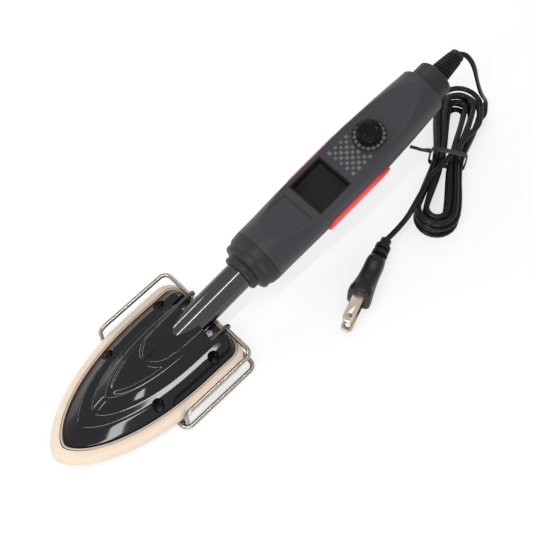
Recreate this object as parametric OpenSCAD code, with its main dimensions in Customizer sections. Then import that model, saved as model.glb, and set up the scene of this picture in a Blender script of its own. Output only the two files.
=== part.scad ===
// Covering iron for film and fabric: a heated arch-shaped shoe in a cloth sock, a steel stem,
// a plastic handle with a temperature dial, a folding wire stand and a bundled mains cord.
// Distances along the iron start at the sock's tip. The table is the plane z = 0.

/* [Shoe] */
// Length of the heated shoe without its sock
shoe_len = 107; // [95:1:120]
// Width of the shoe
shoe_w = 59.6; // [52:0.2:64]
// Thickness of the shoe block
shoe_h = 9; // [8:0.5:11]
// Radius of the shoe's rear corners in plan
shoe_corner_r = 11; // [8:0.5:13]
// How far back from the tip the shoe is widest
shoe_widest = 84; // [78:1:86]
// Depth of the pocket that holds the heater
heater_pocket_depth = 2.8; // [2.6:0.1:3.4]
// Thickness of the heating element
heater_t = 1.4; // [1:0.1:1.6]
// Thickness of the clamp plate that presses the heater down
clamp_plate_t = 1.5; // [1:0.1:2]
// Thickness of the flange that carries the stem
flange_t = 1.5; // [1:0.1:2]

/* [Sock] */
// Thickness of the sock's cloth
sock_t = 1.1; // [0.8:0.1:1.4]
// How far the sock folds in over the shoe's rim
sock_fold = 4.2; // [3:0.2:4.2]
// Thickness of the elastic hem
hem_d = 1.2; // [1.1:0.1:1.4]

/* [Cover] */
// Rim of the shoe that the cover leaves bare
cover_inset = 4.6; // [4.6:0.2:6]
// Sheet thickness of the cover
cover_t = 1.2; // [0.8:0.1:1.6]
// Height of the cover's skirt
skirt_h = 7.4; // [6.5:0.1:8.4]
// Rise from the lower terrace to the upper one
terrace_h = 4.6; // [3.6:0.1:5.4]
// Diameter of the cover screws' heads
cover_screw_head_d = 5; // [4:0.1:5.4]

/* [Stem] */
// Outside diameter of the stem tube
tube_d = 16; // [14:0.2:17]
// Wall of the stem tube
tube_wall = 1; // [0.8:0.1:1.6]
// Angle of the stem and handle above the sole
tilt = 9.4; // [9:0.1:9.8]
// Distance from the tip to the front of the handle
collar_x = 131.2; // [130:0.2:136]
// Height of the stem's axis at the front of the handle
collar_z = 28.3; // [28:0.1:30]
// How far the tube runs into the handle
tube_in_handle = 38; // [32:1:39]

/* [Handle] */
// Width of the handle
body_w = 33.6; // [33.2:0.1:34]
// Height of the handle
body_h = 33.6; // [33:0.1:34]
// Radius of the turned shape at the handle's middle
body_r = 17; // [16.9:0.1:17.4]
// Wall of the handle shells
shell_wall = 2.6; // [2:0.1:2.6]
// Distance from the handle's front to the end of its shells
shell_end = 141.4; // [141:0.2:146]
// Length of the end cap behind the shells
end_cap_len = 11.5; // [8:0.5:14]
// Diameter of the end cap
end_cap_d = 21.5; // [18:0.5:23]
// Height of the flat deck above the handle's axis
deck_h = 10; // [9.8:0.1:10.6]
// Length of the display pocket
pocket_len = 21.5; // [18:0.5:22.5]
// Width of the display pocket
pocket_w = 21.5; // [18:0.5:22]
// Depth of the display pocket
pocket_depth = 6; // [4.5:0.1:6.2]
// Length of the red side strips
strip_len = 46.5; // [36:0.5:52]
// How far the strips stand out of the handle
strip_out = 1.6; // [0.8:0.1:2]

/* [Dial] */
// Diameter of the dial knob
knob_d = 14; // [12:0.1:15]
// Height of the dial knob
knob_h = 5; // [4:0.1:6.5]
// Distance of the dial from the handle's front
dial_u = 100; // [99:0.5:101]
// Diameter of the printed scale plate
scale_d = 19; // [18.6:0.1:20]

/* [Stand] */
// Diameter of the stand wire
wire_d = 2.4; // [2:0.1:2.6]
// Half of the width between the stand's upper rails
rail_y = 32.6; // [32:0.1:36]
// Half of the width of the foot loop's right-hand side
foot_y = 34.4; // [33.6:0.1:37]
// Length of the stand's rails
rail_len = 47; // [40:1:50]
// Bend radius of the stand wire
wire_bend_r = 4.2; // [3.4:0.1:5]
// Height of the stand's pivot above the table
pivot_z = 17.5; // [17.2:0.1:19]
// Distance from the tip to the stand's pivot
pivot_x = 108; // [107.6:0.1:109]

/* [Cord] */
// Width of the twin cord
cord_w = 3.2; // [3:0.1:3.4]
// Length of the strain relief
boot_len = 18; // [14:1:24]
// Diameter of the strain relief where it leaves the handle
boot_d = 12.4; // [11:0.2:13]
// Diameter of the strain relief at its free end
boot_end_d = 8.4; // [7:0.2:9]
// Ribs on the strain relief
boot_ribs = 9; // [6:1:12]
// Loops in the hank
loops = 8; // [8]

/* [Hidden] */
$fn = 48;

// Gaps between pieces: loose between bodies, close between pieces of one body
body_gap = 0.3;
fit_gap = 0.1;
run_gap = 0.06;
eps = 0.01;

// Heights of the stack in the head, from the table up
sock_z0 = wire_d + body_gap;
sole_z = sock_z0 + sock_t + fit_gap;
shoe_top = sole_z + shoe_h;
heater_z = shoe_top - heater_pocket_depth;
insulation_z = heater_z + heater_t;
plate_z = shoe_top;
flange_z = plate_z + clamp_plate_t;
tube_foot_z = flange_z + flange_t;
skirt_z = shoe_top + skirt_h;
terrace_z = skirt_z + 0.8;
upper_z = terrace_z + terrace_h;
fit_out = sock_t + fit_gap;

// The iron without its cord runs from the sock's tip to the end of the strain relief
handle_end = shell_end + end_cap_len;
boot_end_u = handle_end + boot_len;
iron_len = collar_x + boot_end_u * cos(tilt) + boot_end_d / 2 * sin(tilt);
shoe_x0 = 1.5 * fit_out;
shoe_x1 = shoe_x0 + shoe_len;

// Pointed arch in plan: a blunt nose, swelling sides, a straight back with round corners
function arch_side(x0, xm, w) =
  [for (i = [0:16]) let (k = pow(i / 16, 1.7))
    [x0 + (xm - x0) * k, w * pow(1 - pow(1 - k, 2.2), 0.62)]];
function arch_back(x1, w, r) =
  [for (a = [0:15:90]) [x1 - r + r * sin(a), w - r + r * cos(a)]];
function arch_half(x0, x1, w, xm, r) = concat(arch_side(x0, xm, w), arch_back(x1, w, r));
function mirrored(half) =
  concat(half, [for (i = [len(half) - 1:-1:1]) [half[i][0], -half[i][1]]]);
function arch(x0, x1, w, xm, r) = mirrored(arch_half(x0, x1, w, xm, r));
function at_z(points, z) = [for (p = points) [p[0], p[1], z]];

// Closed skin through a list of rings with the same number of points
module skin(rings) {
  n = len(rings[0]);
  m = len(rings);
  sides = [for (j = [0:m - 2]) for (i = [0:n - 1]) for (f = [0, 1])
    let (a = j * n + i, b = j * n + (i + 1) % n, c = a + n, d = b + n)
    f == 0 ? [a, b, d] : [a, d, c]];
  first = [[for (i = [n - 1:-1:0]) i]];
  last = [[for (i = [0:n - 1]) (m - 1) * n + i]];
  polyhedron(points = [for (r = rings) for (p = r) p], faces = concat(first, sides, last),
    convexity = 8);
}

module placed() translate([-iron_len / 2, 0, 0]) children();

// Handle frame: x runs along the handle from its front, z stands square to its deck
module on_handle() placed() translate([collar_x, 0, collar_z]) rotate([0, -tilt, 0]) children();
module turned_about_x() rotate([0, 90, 0]) children();
module round_bar(x0, x1, d) translate([x0, 0, 0]) turned_about_x() cylinder(d = d, h = x1 - x0);

// Threaded pieces: shank and hole sizes
screw_d = 2.6;
small_screw_d = 2;
head_h = 1.6;
function hole(d) = d + 2 * fit_gap;

// Shoe and heater
shoe_w2 = shoe_w / 2;
function shoe_arch(inset) = arch(shoe_x0 + 1.5 * inset, shoe_x1 - inset, shoe_w2 - inset,
  shoe_widest, max(2, shoe_corner_r - inset));
pocket_inset = cover_inset + 8.4;
plate_inset = pocket_inset + 2.4;
cover_w2 = shoe_w2 - cover_inset;
cover_screws_at = [[54.5, cover_w2 - 5.8], [92, cover_w2 - 4.4]];
clamp_screws_at = [[44, 4.4], [69, 8.4]];
flange_screws_at = [[79, 9.9], [91, 9.9]];
clamp_screw_len = 6;

module arch_plate(outline, z0, h) translate([0, 0, z0]) linear_extrude(h) polygon(outline);

module each_pair(places) for (p = places) for (s = [-1, 1]) translate([p[0], s * p[1], 0]) children();

module screw(z_tip, z_seat, d, head_d) {
  translate([0, 0, z_tip]) cylinder(d = d, h = z_seat - z_tip);
  translate([0, 0, z_seat]) difference() {
    cylinder(d = head_d, h = head_h);
    translate([0, 0, head_h / 2]) for (a = [0, 90]) rotate(a)
      cube([head_d * 0.6, 0.7, head_h + 2 * eps], center = true);
  }
}

module shoe() color("silver") placed() difference() {
  arch_plate(shoe_arch(0), sole_z, shoe_h);
  arch_plate(shoe_arch(pocket_inset), heater_z, shoe_h);
  each_pair(cover_screws_at) translate([0, 0, heater_z]) cylinder(d = hole(screw_d), h = shoe_h);
  each_pair(clamp_screws_at) translate([0, 0, heater_z - 3.2]) cylinder(d = hole(screw_d), h = shoe_h);
}

module heater_layer(z, h) placed() difference() {
  arch_plate(shoe_arch(pocket_inset + fit_gap), z, h);
  each_pair(clamp_screws_at) translate([0, 0, z - 1]) cylinder(d = hole(screw_d), h = h + 2);
}

module heating_element() color("tan") heater_layer(heater_z, heater_t);

module insulation_sheet() color("ivory") heater_layer(insulation_z, plate_z - insulation_z);

module clamp_plate() color("lightgray") placed() difference() {
  arch_plate(shoe_arch(plate_inset), plate_z, clamp_plate_t);
  each_pair(clamp_screws_at) translate([0, 0, plate_z - 1]) cylinder(d = hole(screw_d), h = clamp_plate_t + 2);
  each_pair(flange_screws_at) translate([0, 0, plate_z - 1])
    cylinder(d = hole(small_screw_d), h = clamp_plate_t + 2);
}

module clamp_screws() color("gray") placed() each_pair(clamp_screws_at)
  screw(heater_z - 3, flange_z, screw_d, 4.8);

// Cover: every ring is [rise of its height, nose inset, side inset, rear inset]
cover_x0 = 8.7;
cover_x1 = shoe_x1 - 2.6;
skirt_in = 5;
shoulder = 0.8;
function cover_ring(z, nose, side, rear, skin) = at_z(arch(cover_x0 + nose + 1.3 * skin,
  cover_x1 - rear - skin, cover_w2 - side - skin, shoe_widest, 5), z);
function cover_rings(skin) = [
  cover_ring(shoe_top, 0, 0, 0, skin),
  cover_ring(shoe_top + 1, 0.2, 0, 0, skin),
  cover_ring(skirt_z - shoulder - skin, 9.4, skirt_in - 0.7, 1, skin),
  cover_ring(skirt_z - skin, 10.8, skirt_in, 1.6, skin),
  cover_ring(terrace_z - skin, 19.4, skirt_in + 4.4, 2, skin),
  cover_ring(terrace_z + shoulder - skin, 20.6, skirt_in + 5.4, 2, skin),
  cover_ring(upper_z - shoulder - skin, 28, skirt_in + 7.6, 2, skin),
  cover_ring(upper_z - skin, 29.4, skirt_in + 8.6, 2, skin),
  cover_ring(upper_z + 0.2 - skin, 32, skirt_in + 9.8, 2, skin),
  cover_ring(upper_z + 1 - skin, 34.4, skirt_in + 10.8, 2, skin)];
function back_to_front(list) = [for (i = [len(list) - 1:-1:0]) list[i]];
well_d = cover_screw_head_d + 1.4;
well_floor_z = shoe_top + 1.6;
nose_r = tube_d / 2 + 2 * fit_gap + cover_t;
nose_x = 77.4;
nose_u = -(collar_x - nose_x) / cos(tilt);
notch_y = 15.4;
notch_x = shoe_x1 - 12.2;

module on_stem() translate([collar_x, 0, collar_z]) rotate([0, -tilt, 0]) children();

module cover_hump(r) on_stem() {
  translate([nose_u, 0, 0]) sphere(r = r);
  round_bar(nose_u, nose_u + 14, 2 * r);
}

module shoe_cover() color("#202124") placed() difference() {
  union() {
    skin(concat(back_to_front(cover_rings(cover_t)), cover_rings(0)));
    intersection() {
      skin(cover_rings(0));
      each_pair(cover_screws_at) translate([0, 0, shoe_top]) cylinder(d = well_d + 2 * cover_t, h = skirt_h + 2);
    }
    intersection() {
      cover_hump(nose_r);
      translate([nose_x - 20, -20, upper_z - cover_t]) cube([34, 40, 20]);
    }
  }
  each_pair(cover_screws_at) {
    translate([0, 0, well_floor_z]) cylinder(d = well_d, h = 12);
    translate([0, 0, shoe_top - 1]) cylinder(d = hole(screw_d), h = 12);
  }
  cover_hump(nose_r - cover_t);
  on_stem() round_bar(nose_u, 0, tube_d + 4 * fit_gap);
  translate([notch_x, -notch_y, shoe_top - 1]) cube([20, 2 * notch_y, 30]);
}

module cover_screws() color("#101010") placed() each_pair(cover_screws_at)
  screw(heater_z + 0.2, well_floor_z, screw_d, cover_screw_head_d);

// Sock: a bowl of cloth that folds in over the shoe's rim
sock_x1 = shoe_x1 + fit_out;
sock_w2 = shoe_w2 + fit_out;
function sock_ring(z, inset, rear) = at_z(arch(1.5 * inset, sock_x1 - rear * inset, sock_w2 - inset,
  shoe_widest, max(2, shoe_corner_r + fit_out - inset)), z);
fold_top = shoe_top + fit_gap + sock_t;
fold_rear = 0.45;

module sock() color("#ecc8a8") placed() skin([
  sock_ring(sock_z0, 3, 1),
  sock_ring(sock_z0 + 0.5, 1.3, 1),
  sock_ring(sock_z0 + 2, 0.2, 1),
  sock_ring(sock_z0 + 4, 0, 1),
  sock_ring(shoe_top - 2, 0, 1),
  sock_ring(shoe_top, 0.5, 1),
  sock_ring(fold_top - 0.2, 1.6, 0.8),
  sock_ring(fold_top, 2.8, 0.6),
  sock_ring(fold_top, sock_fold, fold_rear),
  sock_ring(shoe_top + fit_gap, sock_fold, fold_rear),
  sock_ring(shoe_top + fit_gap, sock_t, 1),
  sock_ring(sole_z - fit_gap, sock_t, 1)]);

module sock_hem() color("#dcb592") placed() translate([0, 0, shoe_top + fit_gap]) linear_extrude(hem_d)
  difference() {
    polygon(sock_ring(0, sock_fold + fit_gap, fold_rear + 0.05) * [[1, 0], [0, 1], [0, 0]]);
    polygon(sock_ring(0, sock_fold + hem_d, fold_rear + 0.1) * [[1, 0], [0, 1], [0, 0]]);
  }

// Parts on the clamp plate
fuse_d = 4;
fuse_x = 59;
sensor_d = 3;
sensor_x = 51;

module thermal_fuse() color("white") placed() translate([fuse_x, -5, flange_z + fuse_d / 2])
  rotate([-90, 0, 0]) cylinder(d = fuse_d, h = 10);

module temperature_sensor() color("orange") placed() translate([sensor_x, -3, flange_z + sensor_d / 2])
  rotate([-90, 0, 0]) cylinder(d = sensor_d, h = 6);

// Stem
stem_front = nose_u + fit_gap;

module tube_flange() color("lightgray") placed() difference() {
  translate([75.4, -12.4, flange_z]) cube([19.6, 24.8, flange_t]);
  each_pair(flange_screws_at) translate([0, 0, flange_z - 1])
    cylinder(d = hole(small_screw_d), h = flange_t + 2);
}

module flange_screws() color("gray") placed() each_pair(flange_screws_at)
  screw(plate_z + 0.1, tube_foot_z, small_screw_d, 3.6);

module stem_tube() color("#2b2c30") placed() difference() {
  on_stem() difference() {
    round_bar(stem_front, tube_in_handle, tube_d);
    round_bar(stem_front - 1, tube_in_handle + 1, tube_d - 2 * tube_wall);
  }
  translate([nose_x - 20, -20, 0]) cube([80, 40, tube_foot_z]);
}

// Tube swept along points, its rings square to the line
function unit(v) = v / norm(v);
function heading(line, i) = let (n = len(line) - 1)
  unit(i == 0 ? line[1] - line[0] : i == n ? line[n] - line[n - 1] : line[i + 1] - line[i - 1]);
function side_of(v) = unit(cross(abs(v[2]) > 0.95 ? [0, 1, 0] : [0, 0, 1], v));
function ring_at(line, i, d, sides) = let (v = heading(line, i), s = side_of(v), w = cross(v, s))
  [for (k = [0:sides - 1]) line[i] + d / 2 * (cos(360 * k / sides + 22.5) * s - sin(360 * k / sides + 22.5) * w)];
module tube_along(line, d, sides) skin([for (i = [0:len(line) - 1]) ring_at(line, i, d, sides)]);

function stem_point(u, y, h) =
  [collar_x + u * cos(tilt) - h * sin(tilt), y, collar_z + u * sin(tilt) + h * cos(tilt)];
heater_wire_d = 1.6;
sensor_wire_d = 1;
board_front = 52;
board_h = deck_h - 13.8;
board_t = 1.6;

module heater_leads() color("white") placed() for (s = [-1, 1])
  tube_along([[fuse_x + fuse_d / 2 + heater_wire_d / 2, s * 3.4, flange_z + heater_wire_d / 2],
    stem_point(nose_u + 1, s * 2.6, -1.2),
    stem_point(tube_in_handle + 2, s * 2.6, -1.2),
    stem_point(board_front - 2, s * 2.6, board_h - heater_wire_d / 2 - fit_gap),
    stem_point(board_front + 3, s * 2.6, board_h - heater_wire_d / 2 - fit_gap)], heater_wire_d, cord_sides);

module sensor_lead() color("yellow") placed()
  tube_along([[sensor_x + sensor_d / 2 + sensor_wire_d / 2, 0, flange_z + 2.4],
    [fuse_x, 0, flange_z + fuse_d + sensor_wire_d / 2 + fit_gap],
    stem_point(nose_u + 1, 0, 1.4),
    stem_point(tube_in_handle + 2, 0, 1.4),
    stem_point(board_front - 2, 0, board_h - sensor_wire_d / 2 - fit_gap),
    stem_point(board_front + 3, 0, board_h - sensor_wire_d / 2 - fit_gap)], sensor_wire_d, cord_sides);

// Stand: ears on the head, a folding bail of wire and a foot of wire welded along its crossbar
ear_y = 13.4;
ear_t = 1.5;
ear_r = 2.8;
pivot_hole_d = wire_d + 2 * run_gap;
bracket_x0 = 97;
bracket_screws_at = [[100, 9]];

module stand_bracket() color("silver") placed() difference() {
  union() {
    translate([bracket_x0, -ear_y - ear_t / 2, flange_z]) cube([6.4, 2 * ear_y + ear_t, flange_t]);
    for (s = [-1, 1]) translate([0, s * ear_y + ear_t / 2, 0]) rotate([90, 0, 0]) linear_extrude(ear_t)
      difference() {
        union() {
          translate([bracket_x0, flange_z]) square([6.4, pivot_z + ear_r - flange_z]);
          translate([bracket_x0, pivot_z - ear_r]) square([pivot_x - bracket_x0, 2 * ear_r]);
          translate([pivot_x, pivot_z]) circle(r = ear_r);
        }
        translate([pivot_x, pivot_z]) circle(d = pivot_hole_d);
      }
  }
  each_pair(bracket_screws_at) translate([0, 0, flange_z - 1])
    cylinder(d = hole(small_screw_d), h = flange_t + 2);
}

module bracket_screws() color("gray") placed() each_pair(bracket_screws_at)
  screw(flange_z + 0.1, tube_foot_z, small_screw_d, 3.6);

rail_x0 = pivot_x - rail_len;
foot_z = wire_d / 2;
foot_left_y = 22;
hook_y = ear_y + 1.2;
foot_x1 = pivot_x + 0.6;
foot_x0 = rail_x0 - wire_d - 0.05;

// A bend of round wire in the plane z = 0, centred on its bend, from angle a0 over the angle da
module wire_bend(r, a0, da) rotate(a0) rotate_extrude(angle = da) translate([r, 0]) circle(d = wire_d);
module wire_x(x0, x1, y, z) translate([x0, y, z]) turned_about_x() cylinder(d = wire_d, h = x1 - x0);
module wire_y(x, y0, y1, z) translate([x, y0, z]) rotate([-90, 0, 0]) cylinder(d = wire_d, h = y1 - y0);
module wire_z(x, y, z0, z1) translate([x, y, z0]) cylinder(d = wire_d, h = z1 - z0);

module rail_side() {
  r = wire_bend_r;
  wire_y(pivot_x, ear_y - ear_t / 2 - 1, rail_y - r, pivot_z);
  translate([pivot_x - r, rail_y - r, pivot_z]) wire_bend(r, 0, 90);
  wire_x(rail_x0 + r, pivot_x - r, rail_y, pivot_z);
  translate([rail_x0 + r, rail_y, pivot_z - r]) rotate([90, 0, 0]) wire_bend(r, 90, 90);
  wire_z(rail_x0, rail_y, foot_z + r, pivot_z - r);
  translate([rail_x0, rail_y - r, foot_z + r]) rotate([90, 0, 90]) wire_bend(r, 270, 90);
  wire_y(rail_x0, -eps, rail_y - r, foot_z);
}

module stand_rails() color("#c9c6c0") placed() {
  rail_side();
  mirror([0, 1, 0]) rail_side();
}

module foot_half(y) {
  r = wire_bend_r;
  wire_y(foot_x1, hook_y, y - r, foot_z);
  translate([foot_x1 - r, y - r, foot_z]) wire_bend(r, 0, 90);
  wire_x(foot_x0 + r, foot_x1 - r, y, foot_z);
  translate([foot_x0 + r, y - r, foot_z]) wire_bend(r, 90, 90);
  wire_y(foot_x0, -eps, y - r, foot_z);
}

module stand_foot() color("#c9c6c0") placed() {
  wire_y(foot_x0, 0, foot_left_y, foot_z);
  mirror([0, 1, 0]) foot_half(foot_y);
}

// Handle body: a turned shape with flats, cut down to a ramp and a deck on top
collar_len = 15;
turned_profile = [[collar_len, 16.3], [20, 16.3], [26, 16.3], [34, 16.6], [40, 16.75], [46, 16.9], [60, body_r],
  [94, body_r], [101, 16.5], [107, 16.2], [112, 15.9], [118, 15.6], [123, 15.2], [129, 14.8], [134, 14.4],
  [shell_end, 13.9]];
front_r = turned_profile[0][1];
rear_r = turned_profile[len(turned_profile) - 1][1];
ramp_u0 = 19.5;
ramp_u1 = 46;
deck_u1 = 112;
rise_u1 = 138;
top_wall = 1.8;

module body_solid(grow) intersection() {
  turned_about_x() rotate_extrude() polygon(concat([[0, collar_len + min(0, grow)]],
    [[front_r + grow, collar_len + min(0, grow)]], [for (p = turned_profile) [p[1] + grow, p[0]]],
    [[rear_r + grow, shell_end - min(0, grow)], [0, shell_end - min(0, grow)]]));
  translate([0, -body_w / 2 - grow, -body_h / 2 - grow]) cube([200, body_w + 2 * grow, body_h + 2 * grow]);
}

// Everything above the ramp, the deck and the rise behind it, from a given depth under them
module over_deck(depth) translate([0, 30, -depth]) rotate([90, 0, 0]) linear_extrude(60)
  polygon([[ramp_u0, front_r], [ramp_u1, deck_h], [deck_u1, deck_h], [rise_u1, rear_r + 0.3],
    [rise_u1, 40], [ramp_u0, 40]]);

module half_shell(side) intersection() {
  body_solid(0);
  union() {
    difference() {
      translate([0, -30, side > 0 ? 0 : -30]) cube([200, 60, 30]);
      difference() {
        body_solid(-shell_wall);
        over_deck(top_wall);
      }
    }
    children();
  }
}

boss_d = 6.6;
front_boss = [45, 10];
rear_boss = [130.8, 7.6];
shell_screw_d = 2.6;
tray_wall = 0.9;
pocket_u0 = 51.5;
pocket_u1 = pocket_u0 + pocket_len;
thumb_u = 25.7;
thumb_w = 20;
thumb_r = 6;
thumb_depth = 0.7;
shell_screw_seat = -8.8;
shell_screw_tip = 6;
bush_d = 7;
strip_u0 = 50.5;

module thumb_panel(h) linear_extrude(h) {
  for (s = [-1, 1]) translate([thumb_u + thumb_r, s * (thumb_w / 2 - thumb_r)]) circle(r = thumb_r);
  translate([thumb_u, thumb_r - thumb_w / 2]) square([ramp_u1 - thumb_u, thumb_w - 2 * thumb_r]);
  translate([thumb_u + thumb_r, -thumb_w / 2]) square([ramp_u1 - thumb_u - thumb_r, thumb_w]);
}

module handle_top_shell() color("#34353a") on_handle() difference() {
  half_shell(1) each_pair([front_boss, rear_boss]) cylinder(d = boss_d, h = body_h);
  over_deck(0);
  intersection() {
    over_deck(thumb_depth);
    thumb_panel(20);
  }
  translate([pocket_u0 - tray_wall - fit_gap, -pocket_w / 2 - tray_wall - fit_gap, deck_h - 4])
    cube([pocket_len + 2 * (tray_wall + fit_gap), pocket_w + 2 * (tray_wall + fit_gap), 8]);
  translate([dial_u, 0, deck_h - 5]) cylinder(d = hole(bush_d), h = 8);
  each_pair([front_boss, rear_boss]) translate([0, 0, -1])
    cylinder(d = hole(shell_screw_d), h = shell_screw_tip + 1.4);
}

module handle_bottom_shell() color("#34353a") on_handle() difference() {
  half_shell(-1) {
    each_pair([front_boss, rear_boss]) translate([0, 0, -body_h]) cylinder(d = boss_d, h = body_h);
    each_pair(board_posts) translate([0, 0, -body_h]) cylinder(d = 4.4, h = body_h + board_h);
    translate([clamp_u0, -9, -body_h]) cube([clamp_len, 18, body_h - cord_d / 2 - fit_gap]);
  }
  each_pair([front_boss, rear_boss]) {
    translate([0, 0, -20]) cylinder(d = hole(shell_screw_d), h = 21);
    translate([0, 0, -20]) cylinder(d = 5.4, h = 20 + shell_screw_seat);
  }
  for (s = [-1, 1]) translate([clamp_u0 + clamp_len / 2, s * 6.4, -7]) cylinder(d = hole(small_screw_d), h = 10);
}

board_posts = [[60, 8.4], [118.4, 7.4]];
cord_d = 3.2;
clamp_u0 = 134.2;
clamp_len = 3.8;

module shell_screws() color("gray") on_handle() each_pair([front_boss, rear_boss])
  mirror([0, 0, 1]) screw(-shell_screw_tip, -shell_screw_seat, shell_screw_d, 5);

module side_strip() on_handle() intersection() {
  difference() {
    body_solid(strip_out);
    body_solid(0.05);
  }
  translate([strip_u0, 25, 0]) rotate([90, 0, 0]) linear_extrude(20) polygon([[0, -2], [5, 1],
    [strip_len - 8, 1], [strip_len, -1.6], [strip_len - 3, -7.4], [2.6, -7.4]]);
}

module red_strip_left() color("#d8322b") side_strip();
module red_strip_right() color("#d8322b") mirror([0, 1, 0]) side_strip();

module display_tray() color("#1b1b1d") on_handle() difference() {
  translate([pocket_u0 - tray_wall, -pocket_w / 2 - tray_wall, deck_h - pocket_depth - tray_wall])
    cube([pocket_len + 2 * tray_wall, pocket_w + 2 * tray_wall, pocket_depth + tray_wall]);
  translate([pocket_u0, -pocket_w / 2, deck_h - pocket_depth]) cube([pocket_len, pocket_w, 10]);
}

// Dial and the board under it
plate_h = 0.5;
knob_gap = 0.35;
shaft_d = 6;
bush_top = deck_h + plate_h;
knob_z = bush_top + knob_gap;
pot_w = 16;
pot_h = 8;
board_top = board_h + board_t;
board_rear = 130.4;
board_w = 22;
notches = 24;

module dial_plate() color("#26272b") on_handle() translate([dial_u, 0, deck_h]) difference() {
  cylinder(d = scale_d, h = plate_h);
  translate([0, 0, -1]) cylinder(d = hole(bush_d), h = plate_h + 2);
  translate([0, 0, plate_h - 0.2]) difference() {
    cylinder(r = 8.8, h = 1);
    translate([0, 0, -1]) cylinder(r = 8.4, h = 3);
  }
}

module dial_knob() color("#0c0c0e") on_handle() translate([dial_u, 0, knob_z]) difference() {
  rotate_extrude() polygon([[0, 0], [knob_d / 2, 0], [knob_d / 2, knob_h - 1.2], [knob_d / 2 - 1.2, knob_h],
    [knob_d / 2 - 2.2, knob_h], [knob_d / 2 - 3, knob_h - 0.7], [0, knob_h - 0.7]]);
  translate([0, 0, -1]) cylinder(d = shaft_d + 2 * run_gap, h = knob_h - 0.5);
  for (i = [0:notches - 1]) rotate(i * 360 / notches) translate([knob_d / 2 + 0.1, 0, -1])
    cylinder(d = 0.9, h = knob_h + 2);
  translate([-knob_d / 2 + 1, -0.4, knob_h - 1.1]) cube([3, 0.8, 2]);
}

module dial_shaft() color("silver") on_handle() translate([dial_u, 0, board_top + pot_h - 4])
  cylinder(d = shaft_d, h = knob_z + knob_h - 1.7 - board_top - pot_h + 4);

module potentiometer() color("#3c5a86") on_handle() translate([dial_u, 0, 0]) difference() {
  union() {
    translate([-pot_w / 2, -pot_w / 2, board_top]) cube([pot_w, pot_w, pot_h]);
    translate([0, 0, board_top]) cylinder(d = bush_d, h = bush_top - board_top);
  }
  translate([0, 0, board_top + pot_h - 4.3]) cylinder(d = shaft_d + 2 * run_gap, h = 20);
}

module circuit_board() color("#2f6b3a") on_handle() difference() {
  translate([board_front, -board_w / 2, board_h]) cube([board_rear - board_front, board_w, board_t]);
  each_pair([rear_boss]) translate([0, 0, board_h - 1]) cylinder(d = boss_d + 0.6, h = 4);
}

module capacitor() color("#b8862f") on_handle() translate([109.5, -7, board_top]) cube([7, 14, 6.4]);

module resistors() color("#c9a27a") on_handle() for (y = [-6, 0, 6])
  translate([55, y, board_top + 1.2]) turned_about_x() cylinder(d = 2.4, h = 6.4);

sink_t = 1.6;
module heat_sink() color("silver") on_handle() {
  translate([74.4, -8, board_top]) cube([16, 16, sink_t]);
  translate([74.4, 6.6, board_top]) cube([16, 1.4, 7]);
  translate([74.4, -8, board_top]) cube([16, 1.4, 7]);
}

module triac() color("#222222") on_handle() translate([76.4, -5, board_top + sink_t]) cube([12, 10, 4.4]);

module terminal_block() color("#e6e6e0") on_handle() difference() {
  translate([118, -5, board_top]) cube([9.5, 10, 7]);
  for (s = [-1, 1]) translate([122.6, s * 2.5, board_top + 3]) cylinder(d = 3, h = 10);
}

clamp_block_h = 5.2;

module tube_clamp() color("#45464c") on_handle() difference() {
  union() {
    translate([20, -12, -clamp_block_h]) cube([14, 24, 2 * clamp_block_h]);
    round_bar(20, 34, tube_d + 3);
  }
  round_bar(10, 50, tube_d + 2 * fit_gap);
  each_pair([[27, 10]]) translate([0, 0, -12]) cylinder(d = hole(small_screw_d), h = 24);
}

module tube_clamp_screws() color("gray") on_handle() each_pair([[27, 10]])
  screw(0.2 - clamp_block_h, clamp_block_h, small_screw_d, 3.4);

module cord_clamp() color("#45464c") on_handle() difference() {
  translate([clamp_u0, -8.6, cord_d / 2 + fit_gap]) cube([clamp_len, 17.2, 2.6]);
  for (s = [-1, 1]) translate([clamp_u0 + clamp_len / 2, s * 6.4, 0]) cylinder(d = hole(small_screw_d), h = 10);
}

module cord_clamp_screws() color("gray") on_handle() for (s = [-1, 1])
  translate([clamp_u0 + clamp_len / 2, s * 6.4, 0]) screw(-6.8, cord_d / 2 + fit_gap + 2.6, small_screw_d, 3.6);

collar_plug_r = front_r - shell_wall - fit_gap;
module nose_collar() color("#2c2d31") on_handle() turned_about_x() rotate_extrude() polygon([
  [tube_d / 2 + fit_gap, 0], [10, 0], [10.6, 0.8], [10.6, 3.6], [13.6, 4.4], [14.6, 5.4], [14.6, 8.4],
  [15.6, 9.8], [front_r - 0.2, collar_len - 0.1], [collar_plug_r, collar_len - 0.1], [collar_plug_r, 18],
  [tube_d / 2 + fit_gap, 18]]);

cap_plug_r = rear_r - shell_wall - fit_gap;
module end_cap() color("#2f3035") on_handle() turned_about_x() rotate_extrude() polygon([
  [boot_root_r + fit_gap, shell_end - 3], [cap_plug_r, shell_end - 3], [cap_plug_r, shell_end],
  [rear_r - 0.2, shell_end], [rear_r - 0.6, shell_end + 1], [end_cap_d / 2 + 0.6, shell_end + 1.6],
  [end_cap_d / 2, shell_end + 2.4], [end_cap_d / 2, handle_end - 1], [end_cap_d / 2 - 1, handle_end],
  [boot_root_r + fit_gap, handle_end]]);

boot_root_r = 4.2;
bore_r = cord_d / 2 + fit_gap;
rib_pitch = (boot_len - 3) / boot_ribs;
function boot_r(u) = boot_d / 2 + (boot_end_d - boot_d) / 2 * (u - handle_end) / boot_len;
rib_profile = [for (i = [0:boot_ribs - 1]) for (p = [[0, 0], [0.56, 0], [0.56, -1.1], [1, -1.1]])
  let (u = handle_end + (i + p[0]) * rib_pitch) [boot_r(u) + p[1], u]];

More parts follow.
